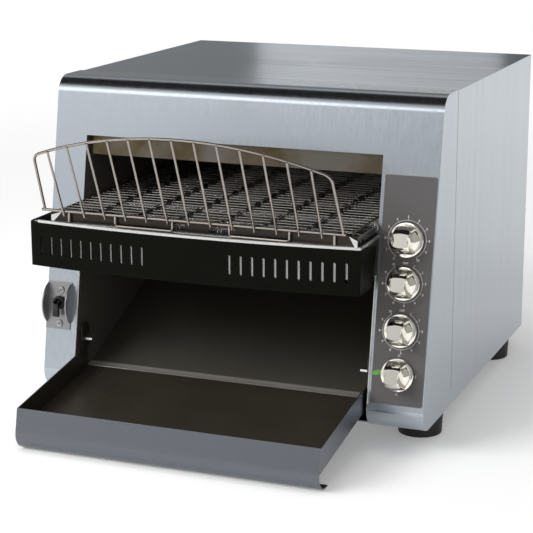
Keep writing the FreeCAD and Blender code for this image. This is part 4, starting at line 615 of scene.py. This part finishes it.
def cover_columns():
    """Lower and upper point of each column of the cover, in plan and height, left to right."""
    columns = []
    rounding = 5
    ahead = COVER_CORNER + 3
    foot = -4.2
    for k in range(5):
        point = polar(rounding, radians(90 * k / 4))
        columns.append(((-COVER_HALF, -1 - 0.8 * k), (-COVER_HALF, COVER_REAR + point.x),
                        COVER_SHOULDER - rounding + point.y))
    for k in range(1, 6):
        low = foot + (ahead - foot) * k / 5
        high = COVER_REAR + (ahead - COVER_REAR) * k / 5
        rise = (COVER_REAR - high) / (COVER_REAR - COVER_CORNER)
        columns.append(((-COVER_HALF, low), (-COVER_HALF, high),
                        COVER_SHOULDER + (COVER_TOP - COVER_SHOULDER) * rise))
    bow = bow_line(COVER_HALF, COVER_BOW)
    corner = turned_corner([(-COVER_HALF, ahead, 0), (*bow[0], 0), (*bow[1], 0)], 2.0, 4)
    for point in corner[1:-1]:
        columns.append(((point.x, point.y), (point.x, point.y), COVER_TOP))
    for point in bow[1:len(bow) // 2 + 1]:
        columns.append((point, point, COVER_TOP))
    mirrored = [((-low[0], low[1]), (-high[0], high[1]), top)
                for low, high, top in reversed(columns[:-1])]
    return columns + mirrored


def front_cover():
    """The bowed sheet with its slots."""
    edge = 0.35
    section = ((0, edge), (0, -edge), (edge, 0), (COVER_SHEET - edge, 0), (COVER_SHEET, -edge),
               (COVER_SHEET, edge), (COVER_SHEET - edge, 0), (edge, 0))
    columns = cover_columns()
    loops = []
    for number, (low, high, top) in enumerate(columns):
        before = columns[max(number - 1, 0)][1]
        after = columns[min(number + 1, len(columns) - 1)][1]
        along = (Vector(after) - Vector(before)).normalized()
        inward = Vector((-along.y, along.x))
        loop = []
        for inset, lift in section:
            upper = len(loop) in (1, 2, 3, 4)
            base = Vector(high if upper else low) + inward * inset
            level = (top if upper else COVER_LOW) + lift
            loop.append((base.x + COVER_MIDDLE, base.y - FRONT_LINE, level))
        loops.append(loop)
    shell = Shape()
    shell.loft(loops, axes=MILLIMETRES)
    slots = Shape()
    for side in (-1, 1):
        for k in range(SLOTS):
            line = capsule(COVER_MIDDLE + side * (SLOT_FIRST + SLOT_PITCH * k), SLOT_LOW,
                           SLOT_HIGH, SLOT_WIDTH)
            slots.loft([[(x, depth - FRONT_LINE, z) for x, z in line] for depth in (-60, -38)],
                       axes=MILLIMETRES)
    mesh = carve(shell.mesh("front_cover_bowed"), slots.mesh("slots"))
    piece("front_cover_bowed", mesh, ["black_cover"],
          stands_for=["front_cover"])


def front_trim():
    """Silver flange on the cover, its upturned rear edge and its side strips."""
    lip = [(x, y) for x, y in bow_line(COVER_HALF, COVER_BOW, 72) if x > -188]
    bow = [(x + COVER_MIDDLE, y) for x, y in lip]
    axes = upright(0, 0)
    shape = Shape()
    add_mesh(shape, flat_mesh("flange", bow + [(bow[0][0] - 5, COVER_CORNER)], 1.2, 0.3,
                              COVER_TOP), axes)
    shape.loft([[(x + COVER_MIDDLE, y + inset, height) for inset, height in
                 ((-0.1, 238.0), (-0.35, 238.3), (-0.35, 240.9), (0.1, 241.5), (0.6, 241.5),
                  (0.9, 241.0), (0.9, 239.4), (0.0, 239.3), (0.0, 238.0))] for x, y in lip],
               axes=axes)
    shape.block((-194.5, -42.4, COVER_TOP + 1.1), (171.3, COVER_CORNER, 241.5), edge=0.3, axes=axes)
    edge = COVER_MIDDLE + COVER_HALF
    shape.block((edge - 2.7, COVER_CORNER - 0.3, 240.2), (edge, 33, 241.4), edge=0.25, axes=axes)
    shape.block((edge - 0.2, COVER_CORNER - 0.3, 238.2), (edge + 0.4, 33, 241.4), edge=0.25,
                axes=axes)
    piece("front_trim_bowed", shape, ["silver_trim"],
          stands_for=["front_trim"])


def rail_caps():
    """Dark channel on each rail ahead of the opening, with a polished edge, and corner tabs."""
    shape = Shape()
    axes = upright(0, 0)
    for low, high, tab in ((167.7, 169.3, 162), (-194.3, -192.7, -181)):
        side = [(-39.8, 245.4), (-18.5, 245.4), (-18.5, 243), (30, 243), (30, 249.4),
                (-39.8, 249.4)]
        shape.loft([[(x, y, z) for y, z in side] for x in (low, high)], axes=axes)
        shape.block((low - 0.2, -39.8, 249.2), (high + 0.2, 30, 250.4), 1, axes, 0.3)
        edge, foot = (high + 2, high - 1) if tab > 0 else (low - 0.2, low + 2.8)
        shape.loft([[(tab, depth, 252.6), (edge, depth, 248.6), (edge, depth, 241.4),
                     (foot, depth, 241.4)] for depth in (-43.0, -42.2)], 1, axes)
    piece("rail_caps", shape, ["rail_steel", "silver_trim"])


def slot_liners():
    """Bright strips right behind the slots of the cover."""
    shape = Shape()
    for side in (-1, 1):
        line = [(x, y) for x, y in bow_line(COVER_HALF, COVER_BOW, 96) if 44 < side * x < 178]
        shape.loft([[(x + COVER_MIDDLE, y + inset, height) for inset, height in
                     ((1.8, 197), (1.8, 227), (2.3, 227), (2.3, 197))] for x, y in line],
                   axes=upright(0, 0))
    piece("slot_liners", shape, ["dark_sheet"])


def wire_guard():
    """The guard in its own leaning plane: arch, foot rod, uprights, hooks and legs."""
    lean = radians(23.4)
    axes = frame_at(spot(-22, -46, 255), (1, 0, 0), (0, -sin(lean), cos(lean)),
                    (0, -cos(lean), -sin(lean)))
    half = 178.5
    narrow = 174.5
    shoulder = 73.0
    crown = 105.7
    wire = 1.65
    rod = 1.35
    gaps = 25.7
    radius = (narrow ** 2 + (crown - shoulder) ** 2) / (2 * (crown - shoulder))
    sweep = asin(narrow / radius)
    arch = [Vector((radius * sin(turn), crown - radius + radius * cos(turn), 0))
            for turn in (sweep * (k / 30 - 1) for k in range(61))]
    first = turned_corner([(-half, -1, 0), arch[0], arch[4]], 12, 8)
    last = turned_corner([arch[-5], arch[-1], (half, -1, 0)], 12, 8)
    shape = Shape()
    shape.tube(first + arch[5:-5] + last, wire, axes=axes, sides=12)
    shape.tube([(-half - 3.5, 0, 0.4), (half + 3.5, 0, 0.4)], wire, axes=axes, sides=12)
    for number in range(-6, 7):
        across = number * gaps
        top = crown - radius + sqrt(radius ** 2 - across ** 2)
        shape.tube([(across, -5.2, 2.2), (across, top + 0.4, 2.0)], rod, axes=axes)
    down = Vector((0, -cos(lean), sin(lean))) * 13.3
    back = Vector((0, 0, -1.6))
    for left in (-91, 47):
        start = Vector((left, 0, 0)) + back
        end = Vector((left + 70, 0, 0)) + back
        shape.tube(turned_corner([start, start + down, end + down, end], 3, 5), rod, axes=axes)
    for across in (-149, 168):
        start = Vector((across, 0, 0)) + back
        shape.tube([start, start + down], rod, axes=axes)
    piece("wire_guard_round", shape, ["guard_wire"], body="wire_guard",
          stands_for=["wire_guard"])


# Wire belt: strands that hook into each other round the loop
BELT_LEFT = -188.0
BELT_RIGHT = 163.0
BELT_FRONT = -24
BELT_REAR = 330
BELT_HEIGHT = 240
BELT_STRANDS = 61
BELT_LANES = 7
BELT_RUN = BELT_REAR - BELT_FRONT
BELT_TURN = 13.1
BELT_BEND = pi * BELT_TURN
BELT_PITCH = 2 * (BELT_RUN + BELT_BEND) / BELT_STRANDS
# Points of a strand's end and of a hook: millimetres across, pitches back, millimetres back, lift
STRAND_END = ((6.0, 1, 0.4, -0.5), (4.2, 1, 1.2, 0.3), (1.6, 1, 0.6, 0.6), (0.8, 0.5, 0, 0.3),
              (1.6, 0, 0.6, 0), (3.6, 0, 0, 0))
STRAND_HOOK = ((-3.0, 0, 0, 0), (-2.0, 0, 0.7, 0.3), (-1.75, 0.5, 0, 0.5), (-1.5, 1, -0.6, 0.6),
               (-0.9, 1, 1.0, 0.3), (0.9, 1, 1.0, -0.3), (1.5, 1, -0.6, -0.5),
               (1.75, 0.5, 0, 0.1), (2.0, 0, 0.7, -0.3), (3.0, 0, 0, 0))


def on_belt(travel, lift):
    """Depth and height of a point of the belt from its travel round the loop."""
    travel %= 2 * (BELT_RUN + BELT_BEND)
    reach = BELT_TURN + lift
    if travel < BELT_RUN:
        return BELT_FRONT + travel, BELT_HEIGHT + reach
    if travel < BELT_RUN + BELT_BEND:
        turn = (travel - BELT_RUN) / BELT_TURN
        return BELT_REAR + reach * sin(turn), BELT_HEIGHT + reach * cos(turn)
    if travel < 2 * BELT_RUN + BELT_BEND:
        return BELT_REAR - (travel - BELT_RUN - BELT_BEND), BELT_HEIGHT - reach
    turn = (travel - 2 * BELT_RUN - BELT_BEND) / BELT_TURN
    return BELT_FRONT - reach * sin(turn), BELT_HEIGHT - reach * cos(turn)


def wire_belt():
    """All strands, their hooks a little to the left and to the right by turns."""
    lane = (BELT_RIGHT - BELT_LEFT) / BELT_LANES
    shape = Shape()
    for strand in range(BELT_STRANDS):
        side = 2.6 if strand % 2 else -2.6
        line = [(BELT_LEFT + across, *rest) for across, *rest in STRAND_END]
        for joint in range(1, BELT_LANES):
            middle = BELT_LEFT + lane * joint + side
            line += [(middle + across, *rest) for across, *rest in STRAND_HOOK]
        line += [(BELT_RIGHT - across, *rest) for across, *rest in reversed(STRAND_END)]
        shape.tube([spot(across, *on_belt((strand - pitches) * BELT_PITCH - back, lift)) * 1000
                    for across, pitches, back, lift in line], 0.9, axes=MILLIMETRES, sides=8)
    piece("wire_belt_strands", shape, ["belt_wire"],
          stands_for=["wire_belt"], smooth=radians(80))


# Knobs: turned skirt and a thick grip with scooped sides; height and radius of each
KNOBS = {"speed_knob": (236, 19.6), "upper_heat_knob": (188.7, 18.8),
         "lower_heat_knob": (137.4, 18.8), "power_knob": (89.3, 18.8)}
KNOB_SIDE = 203.3


def grip_loop(length, waist, ends, height):
    """Outline of the grip at a height: round ends, sides that draw in between them."""
    crown = 2.2
    shoulder = length / 2 - crown
    upper = []
    for k in range(-10, 11):
        share = k / 10
        upper.append((waist / 2 + (ends - waist) / 2 * abs(share) ** 1.7, share * shoulder))
    for k in range(1, 8):
        turn = pi * k / 8
        upper.append((ends / 2 * cos(turn) * (1 - 0.05 * sin(turn)),
                      shoulder + crown * sin(turn)))
    return [(x, y, height) for x, y in upper] + [(-x, -y, height) for x, y in upper]


def knob(name, height, radius):
    """Skirt and grip in chrome, and the shaft behind them."""
    axes = on_slope(KNOB_SIDE, height, 1.3)
    shape = Shape()
    shape.turned([(radius - 2.2, 0), (radius - 0.5, 0), (radius, 0.5), (radius, 2.6),
                  (radius - 0.3, 3.3), (radius - 0.7, 3.7), (radius - 1.2, 3.8),
                  (radius - 2.9, 3.9), (radius - 3.2, 3.7), (radius - 3.5, 3.2),
                  (radius - 3.9, 3.2),
                  (radius - 4.4, 4.2), (radius - 6.2, 5.6), (radius - 8.4, 6.8), (0, 8.2)],
                 axes=axes, steps=96)
    shape.loft([grip_loop(33, 17.5, 22, 3.5), grip_loop(32, 17, 21.4, 8),
                grip_loop(30, 16.4, 20.2, 13), grip_loop(27.4, 15.8, 19.2, 18),
                grip_loop(25.2, 15.6, 18.6, 20.6), grip_loop(21.6, 15.4, 18, 23),
                grip_loop(17.2, 15.2, 17.4, 24.6), grip_loop(15.8, 14.6, 16.6, 25)], axes=axes)
    shape.turned([(3, 1), (3, -13)], axes=axes, steps=24, look=1)
    piece(name + "_chrome", shape, ["chrome_knob", "shaft_steel"], body=name,
          stands_for=[name], smooth=radians(26))


# Dial prints, each in the axes of its knob
def print_ring(shape, axes, start, end, radius, width=0.4):
    """An arc between two angles in degrees, clockwise from the top."""
    steps = max(int(abs(end - start) / 4), 2)
    for k in range(steps):
        first = radians(90 - start - (end - start) * k / steps)
        last = radians(90 - start - (end - start) * (k + 1) / steps)
        shape.add([polar(radius, first), polar(radius, last), polar(radius + width, last),
                   polar(radius + width, first)], [(0, 1, 2, 3)], axes=axes)


def print_tick(shape, axes, turn, radius, length=1.8, width=0.5):
    """A short line outwards."""
    angle = radians(90 - turn)
    along = polar(1, angle)
    side = polar(width / 2, angle + pi / 2)
    shape.add([along * radius - side, along * (radius + length) - side,
               along * (radius + length) + side, along * radius + side], [(0, 1, 2, 3)], axes=axes)


def print_words(shape, axes, words, place, size):
    """A number or OFF, set flat about its place."""
    curve = bpy.data.curves.new("words", "FONT")
    curve.body = words
    curve.size = size * 1.55
    curve.offset = size * 0.03
    curve.align_x = "CENTER"
    curve.align_y = "CENTER"
    curve.resolution_u = 3
    add_mesh(shape, curve_mesh(curve), axes @ Matrix.Translation(place))


def print_scale(shape, axes, first, step, count, start, radius, reach):
    """Ticks at a radius and their numbers at a reach, counted up from start."""
    for k in range(count):
        turn = first + step * k
        print_tick(shape, axes, turn, radius)
        print_words(shape, axes, str(start + k), polar(reach, radians(90 - turn)), 2.4)


def dial_prints():
    """The prints of all dials just above the film, and the green mark."""
    dials = {name: on_slope(KNOB_SIDE, height, 0.84) for name, (height, _) in KNOBS.items()}
    shape = Shape()
    axes = dials["speed_knob"]
    print_ring(shape, axes, -147.5, 147.5, 21.6)
    print_scale(shape, axes, -147.5, 29.5, 11, 0, 21.6, 25.3)
    for name in ("upper_heat_knob", "lower_heat_knob"):
        axes = dials[name]
        print_words(shape, axes, "OFF", (0, 22.4, 0), 2.3)
        print_ring(shape, axes, 27, 326, 20.6)
        print_tick(shape, axes, 27, 20.6, 3.2)
        print_scale(shape, axes, 56, 30, 10, 1, 20.6, 24.4)
    axes = dials["power_knob"]
    for turn in (0, 180):
        place = polar(21.4, radians(90 - turn))
        corners = [2 * pi * k / 24 for k in range(25)]
        for first, last in zip(corners, corners[1:]):
            shape.add([place + polar(1.0, first), place + polar(1.0, last),
                       place + polar(1.35, last), place + polar(1.35, first)], [(0, 1, 2, 3)],
                      axes=axes)
    print_tick(shape, axes, 90, 20.4, 0.5, 3.4)
    piece("dial_prints", shape, ["white_print"], smooth=0.5)
    oval = Shape()
    ring = [polar(1, 2 * pi * k / 36) for k in range(36)]
    oval.add([(-24 + 5.2 * point.x, 0.3 + 2.8 * point.y + 1.3 * point.x, 0) for point in ring],
             [tuple(range(36))], axes=axes)
    piece("green_mark", oval, ["green_print"])


# Toggle switch: its screws, black bush and lever
def pan_screw(shape, axes, radius, height):
    """Pan head with a cross recess in the second look."""
    shape.turned([(radius * 0.97, 0), (radius, height * 0.2), (radius * 0.93, height * 0.55),
                  (radius * 0.72, height * 0.85), (radius * 0.4, height), (0, height * 1.04)],
                 axes=axes, steps=32)
    for turn in (20, 110):
        shape.block((-radius * 0.55, -radius * 0.11, height * 0.6),
                    (radius * 0.55, radius * 0.11, height * 1.06), 1,
                    axes @ Matrix.Rotation(radians(turn), 4, "Z"))


def toggle():
    """Screws, black bush, and the lever with its ribbed paddle."""
    axes = on_slope(-217.8, 128.5)
    shape = Shape()
    for height in (143.5, 104.4):
        pan_screw(shape, on_slope(-216.5, height, 1.5), 4.2, 1.8)
        shape.turned([(1.9, 0.2), (1.9, -8)], 0, on_slope(-216.5, height), 16)
    piece("toggle_pan_screws", shape, ["shaft_steel", "dark_steel"],
          stands_for=["toggle_screws"])
    bush = Shape()
    bush.turned([(5.1, 1.6), (8.0, 1.6), (8.0, 3.6), (7.6, 4.6), (6.9, 5.4), (6.0, 5.9),
                 (5.4, 6.0), (5.1, 5.6), (5.1, 1.6)], axes=axes, steps=48)
    for k in range(12):
        place = axes @ Matrix.Rotation(radians(30 * k), 4, "Z")
        bush.block((7.3, -0.55, 1.8), (8.3, 0.55, 4.4), axes=place, edge=0.2)
    bush.turned([(5.7, -1.4), (5.7, 1.6)], axes=axes, steps=24)
    piece("toggle_round_bush", bush, ["black_plastic"],
          stands_for=["toggle_bush"])
    lever = Shape()
    lever.turned([(0, -0.9), (1.1, -0.68), (2.05, -0.05), (2.68, 0.9), (2.9, 2), (2.68, 3.1),
                  (2.05, 4.05), (0, 4.9)], axes=axes, steps=24)
    lever.tube([(0, 0, 0.5), (0, -0.5, 4.5), (0, -2.2, 8.5), (0, -5, 11.2)], 2.1, axes=axes,
               sides=16)
    loops = []
    for k in range(9):
        share = k / 8
        wide = 3.3 + 1.0 * share
        thick = 2.3 - 0.3 * share
        y = -1.2 - 15.0 * share
        out = 11.8 - 1.2 * share
        inset = 0.6 if k in (0, 8) else 0
        loops.append([(x + 0.6, y, z) for x, z in
                      round_box(-wide + inset, out - thick + inset, wide - inset,
                                out + thick - inset, 1.0, 3)])
    lever.loft(loops, axes=axes)
    for y in (-6, -8.8, -11.6, -14.4):
        lever.block((-2.4, y - 0.6, 12.2), (3.6, y + 0.6, 13.6), axes=axes, edge=0.15)
    piece("toggle_paddle", lever, ["black_plastic"], body="toggle_lever",
          stands_for=["toggle_lever"])


def opening_beads():
    """Bright turned edges of the opening under the cover."""
    shape = Shape()
    for across in (-195.2, 170.2):
        line = [on_slope(across, height, -0.2) @ Vector() * 1000 for height in (54, 100, 150, 196)]
        shape.tube(line, 1.15, axes=MILLIMETRES, sides=14)
    piece("opening_beads", shape, ["silver_trim"])


# Feet, screws and heaters, each where its solid is
def feet():
    """Rubber feet with a hollow for the screw."""
    shape = Shape()
    for low, high in islands("feet"):
        hub = (low + high) / 2
        shape.turned([(9, 18.5), (9, 0.3), (9.5, 0), (23.6, 0), (24.8, 0.5), (25.2, 1.6),
                      (25.5, 8), (25.9, 16), (26.4, 22.5), (26.3, 23.6), (25.6, 24.5), (2.7, 24.5),
                      (2.7, 18.5), (9, 18.5)], axes=upright(hub.x, hub.y), steps=64)
    piece("rubber_feet", shape, ["foot_rubber"], stands_for=["feet"])


def rear_screws():
    """Pan heads on the rear panel."""
    shape = Shape()
    for low, high in islands("rear_screws"):
        hub = (low + high) / 2
        axes = frame_at(spot(hub.x, BODY_DEPTH, hub.z), (1, 0, 0), (0, 0, 1), (0, 1, 0))
        pan_screw(shape, axes, 4.4, 1.8)
        shape.turned([(1.9, 0.1), (1.9, -6)], 0, axes, 16)
    piece("rear_pan_screws", shape, ["bare_steel", "dark_steel"],
          stands_for=["rear_screws"])


def heater_tubes():
    """Glass tubes with a coil inside and a ceramic cap at each end."""
    cap = 16
    for node, height in (("top_heater_tubes", 322), ("bottom_heater_tubes", 240)):
        glass = Shape()
        inner = Shape()
        for low, high in islands(node):
            depth = (low.y + high.y) / 2
            axes = frame_at(spot(0, depth, height), (0, 1, 0), (0, 0, 1), (1, 0, 0))
            glass.turned([(3.9, low.x + 8), (5.0, low.x + 8), (5.0, high.x - 8),
                          (3.9, high.x - 8), (3.9, low.x + 8)], axes=axes, steps=28)
            left = low.x + cap - 2
            length = high.x - cap + 2 - left
            steps = int(length / 5) * 10
            line = [polar(2.3, 2 * pi * k / 10, left + length * k / steps)
                    for k in range(steps + 1)]
            inner.tube(line, 0.45, 0, axes, sides=4)
            for start, end in ((low.x, low.x + cap), (high.x - cap, high.x)):
                inner.block((-6.5, -6.5, start), (6.5, 6.5, end), 1, axes, 0.8)
        piece(node.replace("tubes", "glass"), glass, ["quartz"],
              stands_for=[node])
        piece(node.replace("tubes", "elements"), inner, ["coil_wire", "ceramic"])


# Scene
def even_shading():
    """Even shading on the carried-over solids: flat across sharp edges, smooth across the rest."""
    tree = bpy.data.node_groups.new("even_shading", "GeometryNodeTree")
    tree.interface.new_socket("Geometry", in_out="INPUT", socket_type="NodeSocketGeometry")
    tree.interface.new_socket("Geometry", in_out="OUTPUT", socket_type="NodeSocketGeometry")
    start = tree.nodes.new("NodeGroupInput")
    end = tree.nodes.new("NodeGroupOutput")
    drop = tree.nodes.new("GeometryNodeRemoveAttribute")
    drop.inputs["Name"].default_value = "custom_normal"
    weld = tree.nodes.new("GeometryNodeMergeByDistance")
    weld.inputs["Distance"].default_value = 10 * WELD
    turn = tree.nodes.new("GeometryNodeInputMeshEdgeAngle")
    less = tree.nodes.new("FunctionNodeCompare")
    less.operation = "LESS_THAN"
    less.inputs[1].default_value = SMOOTH
    face = tree.nodes.new("GeometryNodeSetShadeSmooth")
    edge = tree.nodes.new("GeometryNodeSetShadeSmooth")
    edge.domain = "EDGE"
    steps = (start, drop, weld, face, edge, end)
    for before, after in (*zip(steps, steps[1:]), (turn, less)):
        tree.links.new(before.outputs[0], after.inputs[0])
    tree.links.new(less.outputs[0], edge.inputs["Shade Smooth"])
    for node in nodes.values():
        if not node.hide_render:
            node.modifiers.new("even_shading", "NODES").node_group = tree
            weighted = node.modifiers.new("weighted", "WEIGHTED_NORMAL")
            weighted.keep_sharp = True
            weighted.weight = 100


def camera():
    """The photograph's camera."""
    data = bpy.data.cameras.new("camera")
    data.sensor_width = SENSOR
    data.lens = FOCAL_PIXELS / PICTURE_WIDTH * SENSOR
    data.shift_x = (PICTURE_WIDTH / 2 - MIDDLE_ACROSS) / PICTURE_WIDTH
    item = placed("camera", data)
    item.location = CAMERA_PLACE
    item.rotation_euler = (radians(90 - CAMERA_DIP), 0, radians(CAMERA_TURN))
    bpy.context.scene.camera = item


def lamp(name, place, aim, size, watts, mirrored):
    """A soft lamp, which reflections may leave out."""
    data = bpy.data.lights.new(name, "AREA")
    data.shape = "RECTANGLE"
    data.size, data.size_y = size
    data.energy = watts
    item = placed(name, data)
    item.location = place
    item.rotation_euler = (Vector(aim) - Vector(place)).to_track_quat("-Z", "Y").to_euler()
    item.visible_camera = False
    item.visible_glossy = mirrored


def spread(tree, value, start, end, low, high):
    """A smooth step from low at start to high at end."""
    step = tree.nodes.new("ShaderNodeMapRange")
    step.interpolation_type = "SMOOTHSTEP"
    for number, bound in enumerate((start, end, low, high), 1):
        step.inputs[number].default_value = bound
    tree.links.new(value, step.inputs[0])
    return step.outputs[0]


def combined(tree, operation, first, second):
    """One math operation on two sockets."""
    made = tree.nodes.new("ShaderNodeMath")
    made.operation = operation
    tree.links.new(first, made.inputs[0])
    tree.links.new(second, made.inputs[1])
    return made.outputs[0]


def shown_rays(tree):
    """One for camera, glossy and transmission rays, nought for the light on the part."""
    path = tree.nodes.new("ShaderNodeLightPath")
    shared = combined(tree, "MAXIMUM", path.outputs["Is Camera Ray"],
                      path.outputs["Is Glossy Ray"])
    return combined(tree, "MAXIMUM", shared, path.outputs["Is Transmission Ray"])


def surface(tree, output, share, first, second):
    """Send a mix of two shaders to the output."""
    mix = tree.nodes.new("ShaderNodeMixShader")
    for number, socket in enumerate((share, first, second)):
        tree.links.new(socket, mix.inputs[number])
    tree.links.new(mix.outputs[0], tree.nodes[output].inputs["Surface"])


def background():
    """White for the camera, graded by direction for reflections, dim for the light it gives."""
    world = bpy.data.worlds.new("world")
    world.use_nodes = True
    tree = world.node_tree
    light = tree.nodes["Background"]
    light.inputs["Strength"].default_value = 0.45
    seen = tree.nodes.new("ShaderNodeBackground")
    for shader in (light, seen):
        shader.inputs["Color"].default_value = (1, 1, 1, 1)
    parts = tree.nodes.new("ShaderNodeSeparateXYZ")
    tree.links.new(tree.nodes.new("ShaderNodeTexCoord").outputs["Generated"], parts.inputs[0])
    strength = spread(tree, parts.outputs["X"], -0.5, -0.08, 1.0, 0.36)
    for side, *bounds in (("Y", -0.5, 0.4, 1.0, 0.28), ("Z", -0.05, 0.15, 0.7, 1.0)):
        strength = combined(tree, "MULTIPLY", strength,
                            spread(tree, parts.outputs[side], *bounds))
    dome = tree.nodes.new("ShaderNodeMix")
    dome.inputs[3].default_value = 0.6
    tree.links.new(spread(tree, parts.outputs["Z"], 0.5, 0.85, 0.0, 1.0), dome.inputs[0])
    tree.links.new(strength, dome.inputs[2])
    path = tree.nodes.new("ShaderNodeLightPath")
    tree.links.new(combined(tree, "MAXIMUM", dome.outputs[0], path.outputs["Is Camera Ray"]),
                   seen.inputs["Strength"])
    surface(tree, "World Output", shown_rays(tree), light.outputs[0], seen.outputs[0])
    bpy.context.scene.world = world


def level_sheet(name, low, high, height, grey, rough):
    """A level sheet with a matt look, and that look's shader."""
    mesh = bpy.data.meshes.new(name)
    mesh.from_pydata([(*low, height), (high[0], low[1], height), (*high, height),
                      (low[0], high[1], height)], [], [(0, 1, 2, 3)])
    sheet = placed(name, mesh)
    look = bpy.data.materials.new(name)
    look.use_nodes = True
    shader = look.node_tree.nodes["Principled BSDF"]
    shader.inputs["Base Color"].default_value = (grey, grey, grey, 1)
    shader.inputs["Specular IOR Level"].default_value = 0
    shader.inputs["Roughness"].default_value = rough
    mesh.materials.append(look)
    return sheet, shader


def floor():
    """Pale floor that keeps the shadow and turns pure white with distance."""
    half = 300
    sheet, shader = level_sheet("floor", (-half, -half), (half, half), 0, 0.9, 0.9)
    tree = sheet.data.materials[0].node_tree
    shader.inputs["Emission Color"].default_value = (1, 1, 1, 1)
    shown = shown_rays(tree)
    glow = tree.nodes.new("ShaderNodeMath")
    glow.operation = "MULTIPLY"
    glow.inputs[1].default_value = 0.2
    tree.links.new(shown, glow.inputs[0])
    tree.links.new(glow.outputs[0], shader.inputs["Emission Strength"])
    away = tree.nodes.new("ShaderNodeVectorMath")
    away.operation = "LENGTH"
    tree.links.new(tree.nodes.new("ShaderNodeTexCoord").outputs["Object"], away.inputs[0])
    far = spread(tree, away.outputs["Value"], 0.6, 2.6, 0, 1)
    white = tree.nodes.new("ShaderNodeEmission")
    surface(tree, "Material Output", combined(tree, "MULTIPLY", shown, far), shader.outputs[0],
            white.outputs[0])


def card():
    """Black card above the front edge, seen in reflections alone."""
    sheet, _ = level_sheet("flag", (-1.6, -0.5), (1.2, 0.14), 0.9, 0.02, 1)
    sheet.visible_camera = False
    sheet.visible_diffuse = False
    sheet.visible_shadow = False
    sheet.visible_transmission = False


front_cover()
front_trim()
slot_liners()
rail_caps()
opening_beads()
wire_guard()
wire_belt()
for knob_name, (knob_height, knob_radius) in KNOBS.items():
    knob(knob_name, knob_height, knob_radius)
dial_prints()
toggle()
feet()
rear_screws()
heater_tubes()

even_shading()
camera()
lamp("key_light", (-2.2, -2.4, 2.2), (0, 0, 0.2), (2.4, 1.4), 84, False)
lamp("top_light", (-0.2, -0.3, 2.6), (0, 0, 0.2), (1.2, 1.0), 12, False)
lamp("front_light", (-1.6, -2.6, 1.75), (0, 0, 0.3), (3.0, 0.9), 12, True)
lamp("rim_light", (-0.45, 1.8, 0.68), (0.1, 0, 0.39), (0.56, 0.36), 0.36, True)
background()
floor()
card()
bpy.context.scene.view_settings.view_transform = "Standard"
